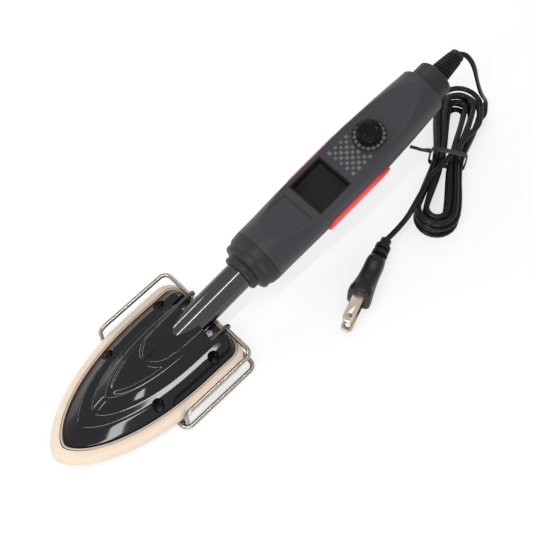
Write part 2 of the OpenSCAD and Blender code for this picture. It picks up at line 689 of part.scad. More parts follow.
module strain_relief() color("#141416") on_handle() turned_about_x() rotate_extrude() polygon(concat(
  [[bore_r, shell_end - 1], [boot_root_r, shell_end - 1], [boot_root_r, handle_end]],
  rib_profile,
  [[boot_end_d / 2, boot_end_u - 3], [boot_end_d / 2, boot_end_u - 0.8], [boot_end_d / 2 - 0.8, boot_end_u],
    [bore_r, boot_end_u]]));

module mains_leads() color("#555555") on_handle() for (s = [-1, 1])
  tube_along([[127.7, s * 2.2, board_top + 2], [130, s * 1.9, board_top + 2.1], [clamp_u0 - 1, s * 0.84, 0],
    [boot_end_u - 2.5, s * 0.84, 0]], 1.5, cord_sides);

// Cord: route points lie on the table or in the air, measured from the sock's tip
boot_tip = stem_point(boot_end_u, 0, 0);
cord_sides = 8;
drop_route = [[302.4, -3, 55.4], [303.8, -6.4, 52], [304.8, -9.2, 46.5], [306, -11.2, 39], [307.8, -12.8, 31],
  [310, -13.8, 24], [312.8, -14.6, 17], [315.8, -15.6, 10.4], [315.4, -17, 5.4], [312.4, -19.2, 2.6]];
hank_mid = [271.2, -25.7];
hank_turn = 31;
hank_c = 34.6;
hank_r = 13.6;
hank_pitch = 3.7;
hank_pinch = 5.6;
hank_d = 3;
hank_sides = 6;
per_loop = 24;
layer_loops = 2;
hank_z0 = cord_w / 2;

function tri_wave(t) = let (m = t - 2 * layer_loops * floor(t / (2 * layer_loops)))
  m < layer_loops ? m : 2 * layer_loops - m;
function smooth(x) = let (c = min(1, max(0, x))) c * c * (3 - 2 * c);
function layer_at(t) = let (n = floor((t + 0.25) / layer_loops))
  n < 1 || t > loops - 0.5 ? min(floor(t / layer_loops), loops / layer_loops - 1)
  : n - 1 + smooth((t + 0.25 - n * layer_loops) / 0.5);
function track(f, r) = f < 0.25 ? let (x = hank_c * (1 - 8 * f)) [x, -r + pinch(x)]
  : f < 0.5 ? let (a = 270 - 720 * (f - 0.25)) [-hank_c + r * cos(a), r * sin(a)]
  : f < 0.75 ? let (x = hank_c * (8 * (f - 0.5) - 1)) [x, r - pinch(x)]
  : let (a = 90 - 720 * (f - 0.75)) [hank_c + r * cos(a), r * sin(a)];
function pinch(x) = hank_pinch * (1 + cos(180 * x / hank_c)) / 2;
function hank_local(p) = [hank_mid[0] + p[0] * cos(hank_turn) - p[1] * sin(hank_turn),
  hank_mid[1] + p[0] * sin(hank_turn) + p[1] * cos(hank_turn)];
function hank_point(t) = let (f = t - floor(t), p = hank_local(track(f, hank_r - hank_pitch * tri_wave(t))))
  [p[0], p[1], hank_z0 + hank_pitch * layer_at(t)];
hank_line = [for (i = [0:per_loop * loops]) hank_point(i / per_loop)];
hank_gap = min([for (i = [0:len(hank_line) - 1]) for (j = [i + 6:1:len(hank_line) - 1])
  norm(hank_line[i] - hank_line[j])]) - hank_d;
echo(least_gap_of_hank_to_itself = hank_gap);

plug_face = [171.6, -49.2];
plug_turn = 199.8;
plug_len = 24;
neck_len = 15;
plug_z = 10.5;
plug_neck = [plug_face[0] - (plug_len + neck_len) * cos(plug_turn),
  plug_face[1] - (plug_len + neck_len) * sin(plug_turn), plug_z];

function local3(x, y, z) = let (p = hank_local([x, y])) [p[0], p[1], z];
hank_end = hank_line[len(hank_line) - 1];
tail_route = [hank_end, local3(28.2, -13.5, 12.9), local3(21.8, -12.4, 14.2), local3(12.7, -7.8, 15.8),
  local3(1.8, -2.7, 16.4), local3(-9.1, 2.7, 16.4), local3(-18.2, 7.8, 16.4), [243.2, -31, 16.2],
  [234, -33.6, 16], [226, -35.2, 12.6], [217.4, -35.8, 10.8], plug_neck];

module cord_drop() color("#151517") placed() tube_along(concat([boot_tip], drop_route, [hank_line[0]]),
  cord_w, cord_sides);
module cord_hank() color("#151517") placed() tube_along(hank_line, hank_d, hank_sides);
module cord_tail() color("#151517") placed() tube_along(tail_route, cord_w, cord_sides);

tie_t = 1;
tie_w = 3;
tie_y = hank_r - hank_pinch + hank_d / 2 + 0.6;
tie_top = 18.7;
module hank_tie() color("#1e1e20") placed() translate([hank_mid[0], hank_mid[1], 0]) rotate(hank_turn)
  translate([-tie_w / 2, 0, 0]) rotate([90, 0, 90]) linear_extrude(tie_w) difference() {
    union() {
      translate([-tie_y - tie_t, 0.5]) square([2 * (tie_y + tie_t), tie_top - 0.5]);
      translate([tie_y, 13]) square([12, tie_t]);
    }
    translate([-tie_y, -1]) square([2 * tie_y, tie_top - tie_t + 1]);
  }

// Plug, lying on its side on the table with one blade over the other
blade_len = 17.5;
blade_w = 6.35;
blade_t = 1.5;
blade_gap = 12.7;

module on_plug() placed() translate([plug_face[0], plug_face[1], plug_z]) rotate(plug_turn) rotate([90, 0, 0])
  children();

module plug_body() color("#151517") on_plug() difference() {
  union() {
    hull() {
      translate([-3, -10.4, -6.8]) cube([3, 20.8, 13.6]);
      translate([-7, -9.4, -6.4]) cube([2, 18.8, 12.8]);
    }
    hull() {
      translate([-8, -9.2, -6.2]) cube([2, 18.4, 12.4]);
      translate([-16, -6.4, -5.4]) cube([2, 12.8, 10.8]);
    }
    hull() {
      translate([-16, -6.4, -5.4]) cube([2, 12.8, 10.8]);
      translate([-plug_len, -8, -5.2]) cube([2, 16, 10.4]);
    }
    round_bar(-plug_len - neck_len, -plug_len + 1, 6);
    for (i = [0:2]) round_bar(-plug_len - 4.4 - 4 * i, -plug_len - 2 - 4 * i, 9 - 0.6 * i);
  }
  for (s = [-1, 1]) translate([-4, s * blade_gap / 2 - blade_t / 2 - fit_gap, -blade_w / 2 - fit_gap])
    cube([5, blade_t + 2 * fit_gap, blade_w + 2 * fit_gap]);
}

module plug_blades() color("#b9a58a") on_plug() for (s = [-1, 1]) translate([0, s * blade_gap / 2, 0])
  difference() {
    translate([-3.9, -blade_t / 2, -blade_w / 2]) cube([blade_len + 3.9, blade_t, blade_w]);
    translate([blade_len - 4, 0, 0]) rotate([90, 0, 0]) cylinder(d = 3, h = 10, center = true);
  }

shoe();
heating_element();
insulation_sheet();
clamp_plate();
clamp_screws();
shoe_cover();
cover_screws();
sock();
sock_hem();
thermal_fuse();
temperature_sensor();
stand_bracket();
bracket_screws();
stem_tube();
tube_flange();
flange_screws();
heater_leads();
sensor_lead();
stand_rails();
stand_foot();
nose_collar();
handle_top_shell();
handle_bottom_shell();
shell_screws();
red_strip_left();
red_strip_right();
display_tray();
dial_plate();
circuit_board();
potentiometer();
triac();
heat_sink();
capacitor();
resistors();
terminal_block();
tube_clamp();
tube_clamp_screws();
mains_leads();
cord_clamp();
cord_clamp_screws();
end_cap();
strain_relief();
dial_knob();
dial_shaft();
cord_drop();
cord_hank();
cord_tail();
hank_tie();
plug_body();
plug_blades();
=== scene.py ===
import math

import bmesh
import bpy
from mathutils import Matrix, Quaternion, Vector


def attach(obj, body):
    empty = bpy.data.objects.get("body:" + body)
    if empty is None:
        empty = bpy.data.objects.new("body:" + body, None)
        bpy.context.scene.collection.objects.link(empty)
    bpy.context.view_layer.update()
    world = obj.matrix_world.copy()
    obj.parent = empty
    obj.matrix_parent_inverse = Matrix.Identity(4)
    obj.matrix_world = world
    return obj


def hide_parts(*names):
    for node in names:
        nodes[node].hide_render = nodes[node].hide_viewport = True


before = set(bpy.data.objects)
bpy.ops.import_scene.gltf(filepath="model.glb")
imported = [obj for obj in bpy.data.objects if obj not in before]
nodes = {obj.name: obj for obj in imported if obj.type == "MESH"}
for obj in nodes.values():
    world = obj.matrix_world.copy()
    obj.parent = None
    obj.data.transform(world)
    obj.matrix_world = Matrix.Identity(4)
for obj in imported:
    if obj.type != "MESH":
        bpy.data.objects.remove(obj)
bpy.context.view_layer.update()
print("frame loaded:", len(nodes), "nodes")

# Places are written in mm from the sock's tip, and made metres in the frame by at()
iron = {"length": 300.4912, "collarX": 131.2, "collarZ": 28.3, "tilt": 9.4}
tilt = math.radians(iron["tilt"])
mm = 0.001


def at(p):
    return Vector(((p[0] - iron["length"] / 2) * mm, p[1] * mm, p[2] * mm))


def onHandle(p):  # p is along the handle, across it, and up from its axis
    u, y, h = p
    x = iron["collarX"] + u * math.cos(tilt) - h * math.sin(tilt)
    return at((x, y, iron["collarZ"] + u * math.sin(tilt) + h * math.cos(tilt)))


def loose(p):  # mm of a template that is copied to its places later
    return Vector(p) * mm


def alongHandle(u, a, b):
    return onHandle((u, a, b))


def newObject(name, data):
    piece = bpy.data.objects.new(name, data)
    bpy.context.scene.collection.objects.link(piece)
    return piece


class Wires:  # short calls for adding and joining nodes in one tree
    def __init__(self, tree):
        self.tree = tree

    def fill(self, inputs, values):  # another node's socket is joined, anything else is set
        for name, value in values.items():
            if isinstance(value, bpy.types.NodeSocket):
                self.tree.links.new(value, inputs[name])
            else:
                inputs[name].default_value = value

    def add(self, kind, values=None, **settings):
        node = self.tree.nodes.new(kind)
        for key, value in settings.items():
            setattr(node, key, value)
        self.fill(node.inputs, values or {})
        return node

    def math(self, operation, *values):
        return self.add("ShaderNodeMath", dict(enumerate(values)), operation=operation).outputs[0]

    def ramp(self, value, low, high, outLow=0.0, outHigh=1.0):
        values = {"Value": value, "From Min": low, "From Max": high, "To Min": outLow, "To Max": outHigh}
        return self.add("ShaderNodeMapRange", values, interpolation_type="SMOOTHSTEP").outputs["Result"]


# Camera and light

camera = {"target": (147.45, -3.96, 20), "azimuth": -45.35, "elevation": 64.7, "roll": 0.16, "distance": 622,
          "lens": 79.0}


def addCamera():
    az, el = math.radians(camera["azimuth"]), math.radians(camera["elevation"])
    back = Vector((math.sin(az) * math.cos(el), -math.cos(az) * math.cos(el), math.sin(el)))
    data = bpy.data.cameras.new("camera")
    data.lens = camera["lens"]
    data.clip_start = 0.01
    view = newObject("camera", data)
    view.location = at(camera["target"]) + back * camera["distance"] * mm
    roll = Quaternion((0, 0, 1), math.radians(camera["roll"]))
    view.rotation_euler = (back.to_track_quat("Z", "Y") @ roll).to_euler()
    bpy.context.scene.camera = view


softboxes = [  # name, place, aimed at, size, watts
    ("terraceStrip", (-50, -46, 490), (-50, -42, 20), (0.52, 0.028), 1.1),
    ("tubeStrip", (-190, -400, 130), (-190, 0, 40), (0.38, 0.045), 0.9),
    ("shoulderStrip", (-73, 330, 225), (-73, 0, 27), (0.30, 0.025), 0.5),
    ("rearStrip", (420, 220, 300), (180, 0, 30), (0.30, 0.05), 0.25),
]
room = {"Color": (0.93, 0.95, 1, 1), "Strength": 0.74}  # what lights the scene from all sides


def addLights():
    for name, place, aim, size, watts in softboxes:
        data = bpy.data.lights.new(name, "AREA")
        data.shape = "RECTANGLE"
        data.size, data.size_y = size
        data.energy = watts
        lamp = newObject(name, data)
        lamp.location = at(place)
        lamp.rotation_euler = (at(place) - at(aim)).to_track_quat("Z", "Y").to_euler()
    world = bpy.data.worlds.new("studio")
    world.use_nodes = True
    world.node_tree.nodes.clear()
    w = Wires(world.node_tree)
    rays = w.add("ShaderNodeLightPath").outputs
    seen = w.math("MAXIMUM", rays["Is Camera Ray"], rays["Is Transmission Ray"])
    mirrored = w.math("MAXIMUM", seen, rays["Is Glossy Ray"])
    dim, bright = w.add("ShaderNodeBackground", room), w.add("ShaderNodeBackground", {"Strength": 1})
    mix = w.add("ShaderNodeMixShader", {0: mirrored, 1: dim.outputs[0], 2: bright.outputs[0]})
    w.add("ShaderNodeOutputWorld", {"Surface": mix.outputs[0]})
    bpy.context.scene.world = world
    bpy.context.scene.view_settings.view_transform = "Standard"


floor = {"half": 3, "drop": -0.0002, "color": (0.94, 0.94, 0.94, 1), "glow": 0.7}  # in metres


def addFloor():
    half, drop = floor["half"], floor["drop"]
    mesh = bpy.data.meshes.new("floor")
    mesh.from_pydata([(-half, -half, drop), (half, -half, drop), (half, half, drop), (-half, half, drop)], [],
                     [(0, 1, 2, 3)])
    table = newObject("floor", mesh)
    paint = bpy.data.materials.new("paleFloor")
    paint.use_nodes = True
    paint.node_tree.nodes.clear()
    w = Wires(paint.node_tree)
    plain = w.add("ShaderNodeBsdfDiffuse", {"Color": floor["color"]})
    glow = w.add("ShaderNodeEmission")
    rays = w.add("ShaderNodeLightPath").outputs
    share = w.math("MULTIPLY", rays["Is Camera Ray"], floor["glow"])
    mix = w.add("ShaderNodeMixShader", {0: share, 1: plain.outputs[0], 2: glow.outputs[0]})
    w.add("ShaderNodeOutputMaterial", {"Surface": mix.outputs[0]})
    mesh.materials.append(paint)


addCamera()
addLights()
addFloor()
print("camera and light set")


# Shader groups

def newGroup(name, numbers, outs):  # a group that takes a place and numbers and gives numbers
    tree = bpy.data.node_groups.new(name, "ShaderNodeTree")
    tree.interface.new_socket("Vector", in_out="INPUT", socket_type="NodeSocketVector")
    for label, value in numbers.items():
        tree.interface.new_socket(label, in_out="INPUT", socket_type="NodeSocketFloat").default_value = value
    for label in outs:
        tree.interface.new_socket(label, in_out="OUTPUT", socket_type="NodeSocketFloat")
    w = Wires(tree)
    return tree, w, w.add("NodeGroupInput").outputs, w.add("NodeGroupOutput").inputs


def makeGrain():  # moulded or cast surface: fine grain with broad blotches
    tree, w, ins, outs = newGroup("surfaceGrain", {"Scale": 900.0, "Roughness": 0.5, "Spread": 0.1},
                                  ("Roughness", "Height", "Blotch"))
    fine = w.add("ShaderNodeTexNoise", {"Vector": ins["Vector"], "Scale": ins["Scale"], "Detail": 3})
    broad = w.add("ShaderNodeTexNoise", {"Vector": ins["Vector"], "Scale": 38, "Detail": 4})
    swing = w.math("SUBTRACT", broad.outputs["Fac"], 0.5)
    w.fill(outs, {"Roughness": w.math("MULTIPLY_ADD", swing, ins["Spread"], ins["Roughness"]),
                  "Height": fine.outputs["Fac"], "Blotch": broad.outputs["Fac"]})
    return tree


def makeScuff():  # thin scratches and rubbed spots, as a mask
    tree, w, ins, outs = newGroup("scuffMarks", {"Scale": 60.0, "Amount": 0.3}, ("Mask",))
    stretch = w.add("ShaderNodeMapping",
                    {"Vector": ins["Vector"], "Scale": (1, 6, 6), "Rotation": (0, 0, 0.4)})
    noise = w.add("ShaderNodeTexNoise", {"Vector": stretch.outputs[0], "Scale": ins["Scale"], "Detail": 6})
    w.fill(outs, {"Mask": w.math("MULTIPLY", w.ramp(noise.outputs["Fac"], 0.62, 0.74), ins["Amount"])})
    return tree


grain, scuff = makeGrain(), makeScuff()


def startMaterial(name):
    paint = bpy.data.materials.new(name)
    paint.use_nodes = True
    w = Wires(paint.node_tree)
    return paint, w, paint.node_tree.nodes["Principled BSDF"], w.add("ShaderNodeTexCoord").outputs["Object"]


def useGroup(w, group, **values):
    return w.add("ShaderNodeGroup", values, node_tree=group).outputs


def blendColor(w, mask, low, high):  # each end is a colour or a node's socket
    a, b = ((*end, 1) if isinstance(end, tuple) else end for end in (low, high))
    return w.add("ShaderNodeMix", {"Factor": mask, "A": a, "B": b}, data_type="RGBA").outputs["Result"]


def relief(w, shader, height, strength, distance):
    bump = w.add("ShaderNodeBump", {"Strength": strength, "Distance": distance, "Height": height})
    w.fill(shader.inputs, {"Normal": bump.outputs[0]})


def tint(color, k):
    return tuple(min(1.0, c * k) for c in color)


def surface(name, color, roughness=0.5, spread=0.1, grainScale=900, bump=0.02, metallic=0.0, coat=0.0,
            scuffs=0.1, wornColor=None, shine=0.5):
    paint, w, shader, spot = startMaterial(name)
    g = useGroup(w, grain, Vector=spot, Scale=grainScale, Roughness=roughness, Spread=spread)
    rubbed = useGroup(w, scuff, Vector=spot, Amount=scuffs)
    fresh = blendColor(w, g["Blotch"], tint(color, 0.88), tint(color, 1.12))
    base = blendColor(w, rubbed["Mask"], fresh, wornColor or tint(color, 1.6))
    relief(w, shader, g["Height"], bump, 0.0002)
    w.fill(shader.inputs, {"Base Color": base, "Roughness": g["Roughness"], "Metallic": metallic,
                           "Coat Weight": coat, "Specular IOR Level": shine})
    return paint


charcoal = (0.026, 0.026, 0.030)
dull = {"Specular IOR Level": 0.28, "Sheen Weight": 0.12}


def handleMaterial(name):
    paint, w, shader, spot = startMaterial(name)
    g = useGroup(w, grain, Vector=spot, Scale=2300.0, Roughness=0.5, Spread=0.10)
    base = blendColor(w, g["Blotch"], tint(charcoal, 0.9), tint(charcoal, 1.1))
    relief(w, shader, w.math("MULTIPLY", g["Height"], 0.06), 0.5, 0.0003)
    w.fill(shader.inputs, {"Base Color": base, "Roughness": g["Roughness"], **dull})
    return paint


def knitMaterial(name, color, shade, wale, course):  # UV in metres along and across the cloth
    paint, w, shader, spot = startMaterial(name)
    uv = w.add("ShaderNodeUVMap", uv_map="cloth")
    xyz = w.add("ShaderNodeSeparateXYZ", {0: uv.outputs[0]}).outputs
    along = w.math("MULTIPLY", xyz[0], 2 * math.pi / wale)
    across = w.math("MULTIPLY", xyz[1], 2 * math.pi / course)
    zigzag = w.math("MULTIPLY", w.math("COSINE", along), 1.4)
    loops = w.math("SINE", w.math("ADD", across, zigzag))
    ribs = w.math("COSINE", w.math("MULTIPLY", along, 2.0))
    weave = w.math("ADD", w.math("MULTIPLY", loops, 0.35), w.math("MULTIPLY", ribs, 0.5))
    g = useGroup(w, grain, Vector=spot, Scale=1500.0, Roughness=0.86, Spread=0.12)
    stitched = blendColor(w, w.ramp(weave, -0.8, 0.8), tint(color, 0.9), color)
    base = blendColor(w, w.ramp(g["Blotch"], 0.35, 0.7, 0.0, 0.45), stitched, shade)
    relief(w, shader, w.math("ADD", weave, w.math("MULTIPLY", g["Height"], 0.7)), 0.45, 0.00025)
    w.fill(shader.inputs, {"Base Color": base, "Roughness": g["Roughness"], **dull})
    return paint


looks = {
    "handleTop": handleMaterial("handlePlasticTop"),
    "handleUnder": handleMaterial("handlePlasticUnder"),
    "collar": surface("collarPlastic", (0.016, 0.016, 0.018), 0.46, 0.1, 2000, 0.12, shine=0.28),
    "tray": surface("trayPlastic", (0.008, 0.008, 0.0095), 0.55, 0.1, 2000, 0.15, shine=0.15),
    "cover": surface("glossBlackCover", (0.006, 0.006, 0.0075), 0.07, 0.02, 320, 0.006, scuffs=0.03,
                     shine=0.3),
    "tube": surface("glossBlackTube", (0.080, 0.081, 0.086), 0.13, 0.03, 320, 0.005, 1.0, 0.0, 0.02),
    # painted reflection: the wire's steel is given a brownish colour that stands in for the knit cloth it
    # mirrors
    "wire": surface("polishedWire", (0.36, 0.34, 0.31), 0.2, 0.03, 300, 0.005, 1.0, 0.0, 0.04,
                    (0.26, 0.23, 0.20)),
    "bracket": surface("bracketSteel", (0.09, 0.09, 0.095), 0.28, 0.05, 500, 0.01, 1.0, 0.0, 0.06),
    "darkScrew": surface("darkScrew", (0.012, 0.012, 0.013), 0.34, 0.1, 900, 0.03, 0.3, 0.0, 0.1, shine=0.25),
    "steel": surface("platedSteel", (0.60, 0.60, 0.61), 0.32, 0.1, 900, 0.03, 1.0, 0.0, 0.15),
    "coating": surface("darkCoating", (0.030, 0.030, 0.032), 0.4, 0.08, 900, 0.02, shine=0.3),
    "aluminium": surface("machinedAluminium", (0.68, 0.68, 0.69), 0.34, 0.1, 700, 0.03, 1.0, 0.0, 0.1),
    "red": surface("redInlay", (0.78, 0.040, 0.030), 0.34, 0.08, 1400, 0.02, 0.0, 0.1, 0.05),
    "knob": surface("glossKnob", (0.004, 0.004, 0.005), 0.16, 0.04, 600, 0.01, scuffs=0.02, shine=0.12),
    "dialFace": surface("dialFace", (0.016, 0.016, 0.018), 0.42, 0.08, 1500, 0.04, shine=0.2),
    "print": surface("greyPrint", (0.115, 0.118, 0.118), 0.5, 0.2, 2600, 0.02, scuffs=0.3, shine=0.2),
    "cord": surface("glossCord", (0.006, 0.006, 0.007), 0.24, 0.08, 700, 0.05, shine=0.25),
    "plug": surface("plugRubber", (0.008, 0.008, 0.009), 0.36, 0.1, 1500, 0.06, scuffs=0.04, shine=0.25),
    "tie": surface("tieCoating", (0.016, 0.016, 0.018), 0.35, 0.1, 1200, 0.05),
    "blade": surface("bladeMetal", (0.56, 0.47, 0.37), 0.24, 0.1, 600, 0.04, 1.0, 0.0, 0.3,
                     (0.30, 0.24, 0.18)),
    "sock": knitMaterial("knitCloth", (0.780, 0.645, 0.515), (0.700, 0.545, 0.410), 0.0011, 0.0008),
    # painted shade: the hem is the sock's own cloth, given darker colours for the shade in its rolled fold
    "hem": knitMaterial("hemCloth", (0.620, 0.495, 0.380), (0.500, 0.385, 0.280), 0.0008, 0.0007),
    "board": surface("solderMask", (0.03, 0.17, 0.07), 0.35, 0.1, 1200, 0.03),
    "mineral": surface("pressedMineral", (0.72, 0.67, 0.56), 0.7, 0.1, 800, 0.1),
    "element": surface("heaterMica", (0.38, 0.31, 0.24), 0.5, 0.1, 500, 0.1),
    "ceramic": surface("whiteCeramic", (0.78, 0.77, 0.73), 0.25, 0.08, 900, 0.02),
    "amber": surface("amberGlass", (0.62, 0.28, 0.08), 0.2, 0.05, 900, 0.02),
    "blackPart": surface("mouldedBlack", (0.03, 0.03, 0.032), 0.5, 0.1, 1500, 0.08),
    "bluePart": surface("mouldedBlue", (0.06, 0.12, 0.30), 0.45, 0.1, 1500, 0.06),
    "ochre": surface("dippedOchre", (0.55, 0.36, 0.06), 0.3, 0.1, 900, 0.04),
    "tan": surface("dippedTan", (0.58, 0.43, 0.27), 0.35, 0.1, 900, 0.04),
    "palePlastic": surface("paleMoulding", (0.72, 0.72, 0.68), 0.5, 0.1, 1500, 0.05),
    "whiteLead": surface("whiteSleeve", (0.75, 0.75, 0.71), 0.55, 0.1, 1500, 0.08),
    "yellowLead": surface("yellowSleeve", (0.72, 0.52, 0.06), 0.45, 0.1, 1500, 0.05),
    "greyLead": surface("greyWire", (0.22, 0.22, 0.23), 0.4, 0.1, 1500, 0.05),
}
print("materials:", len(looks))


# Mesh helpers

def smoothByAngle(mesh, degrees=35):
    mesh.shade_smooth()
    mesh.set_sharp_from_angle(angle=math.radians(degrees))


def rework(mesh, change):  # runs a change on the mesh as a bmesh
    work = bmesh.new()
    work.from_mesh(mesh)
    change(work)
    work.to_mesh(mesh)
    work.free()


def faceOut(work):
    bmesh.ops.recalc_face_normals(work, faces=work.faces)


def weld(work):
    bmesh.ops.remove_doubles(work, verts=work.verts, dist=1e-7)
    faceOut(work)


def meshPiece(name, points, faces, material, sharp=35):
    mesh = bpy.data.meshes.new(name)
    mesh.from_pydata([tuple(p) for p in points], [], faces)
    rework(mesh, weld)
    smoothByAngle(mesh, sharp)
    mesh.materials.append(looks[material])
    return newObject(name, mesh)


def bandFaces(rows, columns, closed=True, wrapped=False):  # wrapped: the last row meets the first
    bands, last = rows if wrapped else rows - 1, columns if closed else columns - 1
    return [(r * columns + c, r * columns + (c + 1) % columns, (r + 1) % rows * columns + (c + 1) % columns,
             (r + 1) % rows * columns + c) for r in range(bands) for c in range(last)]


def cappedFaces(rows, columns):
    caps = [tuple(range(columns - 1, -1, -1)), tuple((rows - 1) * columns + c for c in range(columns))]
    return bandFaces(rows, columns) + caps


def loft(name, rings, material, sharp=35):
    faces = cappedFaces(len(rings), len(rings[0]))
    return meshPiece(name, [p for ring in rings for p in ring], faces, material, sharp)


def fullTurn(steps):
    return [2 * math.pi * k / steps for k in range(steps)]


def turned(name, profile, place, material, sides, sharp=28):  # profile: (radius, along); closed outline
    rings = [[place(u, r * math.cos(a), r * math.sin(a)) for r, u in profile] for a in fullTurn(sides)]
    faces = bandFaces(sides, len(profile), wrapped=True)
    return meshPiece(name, [p for ring in rings for p in ring], faces, material, sharp)


def cornerCurve(start, corner, stop, steps):
    return [tuple(start * (1 - t) ** 2 + corner * 2 * t * (1 - t) + stop * t * t)
            for t in (s / steps for s in range(steps + 1))]


def softened(profile, cut, steps=3):  # rounds the corners of a closed outline
    out = []
    n = len(profile)
    for i in range(n):
        a, b, c = (Vector(profile[j % n]) for j in (i - 1, i, i + 1))
        da, dc = (a - b).length, (c - b).length
        ka, kc = min(cut, da * 0.4) / da, min(cut, dc * 0.4) / dc
        out += cornerCurve(b + (a - b) * ka, b, b + (c - b) * kc, steps)
    return out


def bakeDown(piece):  # turns what the modifiers make into the piece's own plain mesh
    bpy.context.view_layer.update()
    depsgraph = bpy.context.evaluated_depsgraph_get()
    mesh = bpy.data.meshes.new_from_object(piece.evaluated_get(depsgraph), depsgraph=depsgraph)
    piece.modifiers.clear()
    old = piece.data
    piece.data = mesh
    mesh.name = piece.name
    if old.users == 0:
        bpy.data.meshes.remove(old)
    return piece


def bevelled(piece, width, steps=2):
    edge = piece.modifiers.new("edge", "BEVEL")
    edge.width = width * mm
    edge.segments = steps
    edge.limit_method = "ANGLE"
    edge.angle_limit = math.radians(30)
    edge.harden_normals = False
    bakeDown(piece)
    smoothByAngle(piece.data, 40)
    return piece


def dropObject(piece):
    mesh = piece.data
    bpy.data.objects.remove(piece)
    if mesh.users == 0:
        bpy.data.meshes.remove(mesh)


def joinInto(piece, extra):
    rework(piece.data, lambda work: work.from_mesh(extra.data))
    dropObject(extra)


def carve(piece, cutter):
    cut = piece.modifiers.new("cut", "BOOLEAN")
    cut.operation = "DIFFERENCE"
    cut.object = cutter
    cut.solver = "EXACT"
    bakeDown(piece)
    dropObject(cutter)
    return piece


def finish(piece, slot, body, *replaced):
    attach(piece, body)
    if replaced:
        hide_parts(*replaced)
    return piece


def boxPiece(name, low, high, material, place=at):
    corners = [(x, y, z) for x in (low[0], high[0]) for y in (low[1], high[1]) for z in (low[2], high[2])]
    faces = [(0, 1, 3, 2), (4, 6, 7, 5), (0, 4, 5, 1), (2, 3, 7, 6), (0, 2, 6, 4), (1, 5, 7, 3)]
    return meshPiece(name, [place(c) for c in corners], faces, material)


def rod(name, a, b, radius, material, sides=48, place=at):  # a straight cylinder between two points
    a, b = place(a), place(b)
    way = (b - a).normalized()
    side = way.orthogonal().normalized()
    up = way.cross(side)
    rings = [[p + (side * math.cos(t) + up * math.sin(t)) * radius * mm for t in fullTurn(sides)]
             for p in (a, b)]
    return loft(name, rings, material)


def swept(points, outline, flat=None):  # rings of the outline along the points; flat: a fixed up
    rings = []
    count = len(points)
    side = None
    for i, p in enumerate(points):
        way = (points[min(i + 1, count - 1)] - points[max(i - 1, 0)]).normalized()
        if flat is not None:
            side = flat.cross(way)
            if side.length < 0.2:
                side = lastSide if rings else way.orthogonal()
            side.normalize()
            if rings and side.dot(lastSide) < 0:
                side = -side
        else:
            side = way.orthogonal() if side is None else side - way * side.dot(way)
            side.normalize()
        lastSide = side.copy()
        up = way.cross(side)
        rings.append([p + side * a * mm + up * b * mm for a, b in outline])
    return rings


def squared(wave, power):  # a sine or cosine made squarer by a power under 1
    return math.copysign(abs(wave) ** power, wave)


def roundOutline(d, sides):
    return [(d / 2 * math.cos(a), d / 2 * math.sin(a)) for a in fullTurn(sides)]


# Geometry Nodes: copies of a template on the points of a mesh, turned by each point's own angles

def copiesTree():
    tree = bpy.data.node_groups.new("copiesOnPoints", "GeometryNodeTree")
    for label, kind in (("Points", "Geometry"), ("Template", "Object"), ("Size", "Float"),
                        ("Size Spread", "Float"), ("Seed", "Int"), ("Finish", "Material")):
        tree.interface.new_socket(label, in_out="INPUT", socket_type="NodeSocket" + kind)
    tree.interface.new_socket("Geometry", in_out="OUTPUT", socket_type="NodeSocketGeometry")
    w = Wires(tree)
    ins = w.add("NodeGroupInput").outputs
    spots = w.add("GeometryNodeMeshToPoints", {"Mesh": ins["Points"]})
    source = w.add("GeometryNodeObjectInfo", {"Object": ins["Template"]})
    angles = w.add("GeometryNodeInputNamedAttribute", {"Name": "turn"}, data_type="FLOAT_VECTOR")
    low, high = (w.math(way, ins["Size"], ins["Size Spread"]) for way in ("SUBTRACT", "ADD"))
    spread = w.add("FunctionNodeRandomValue", {2: low, 3: high, "Seed": ins["Seed"]}, data_type="FLOAT")
    placed = w.add("GeometryNodeInstanceOnPoints", {
        "Points": spots.outputs[0], "Instance": source.outputs["Geometry"],
        "Rotation": angles.outputs["Attribute"], "Scale": spread.outputs[1]})
    real = w.add("GeometryNodeRealizeInstances", {0: placed.outputs[0]})
    paint = w.add("GeometryNodeSetMaterial", {0: real.outputs[0], "Material": ins["Finish"]})
    w.add("NodeGroupOutput", {0: paint.outputs[0]})
    return tree


copiesOnPoints = copiesTree()


def socketId(tree, label):
    return next(s.identifier for s in tree.interface.items_tree
                if s.item_type == "SOCKET" and s.in_out == "INPUT" and s.name == label)


def copies(name, points, turns, template, material, size=1.0, spread=0.0, seed=1):
    mesh = bpy.data.meshes.new(name)
    mesh.from_pydata([tuple(p) for p in points], [], [])
    turn = mesh.attributes.new("turn", "FLOAT_VECTOR", "POINT")
    for i, angles in enumerate(turns):
        turn.data[i].vector = angles
    piece = newObject(name, mesh)
    layout = piece.modifiers.new("copies", "NODES")
    layout.node_group = copiesOnPoints
    for label, value in (("Template", template), ("Size", size), ("Size Spread", spread), ("Seed", seed),
                         ("Finish", looks[material])):
        layout[socketId(copiesOnPoints, label)] = value
    bakeDown(piece)
    dropObject(template)
    rework(piece.data, faceOut)
    smoothByAngle(piece.data)
    return piece


# Cord: as in part.scad, but its inner loops keep closer together

cord = {"width": 3.2, "thickness": 2.2, "perLoop": 48, "loops": 8}
# lanes and layers: loops lie inside each other, two to a layer
hank = {"mid": (271.2, -25.7), "turn": 31, "halfRun": 34.2, "radius": 12.9, "step": 4.5, "waist": 8.1,
        "waistStep": 3.25, "layer": 3.7, "layerLoops": 2, "low": 1.6}
bootEnd = 170.9
plugPlace = {"face": (171.6, -49.2), "turn": 199.8, "length": 24, "neck": 15, "height": 10.5}
dropPoints = [(302.4, -3, 55.4), (303.8, -6.4, 52), (304.8, -9.2, 46.5), (306, -11.2, 39), (307.8, -12.8, 31),
              (310, -13.8, 24), (312.8, -14.6, 17), (315.8, -15.6, 10.4), (315.4, -17, 5.4),
              (312.4, -19.2, 2.6)]


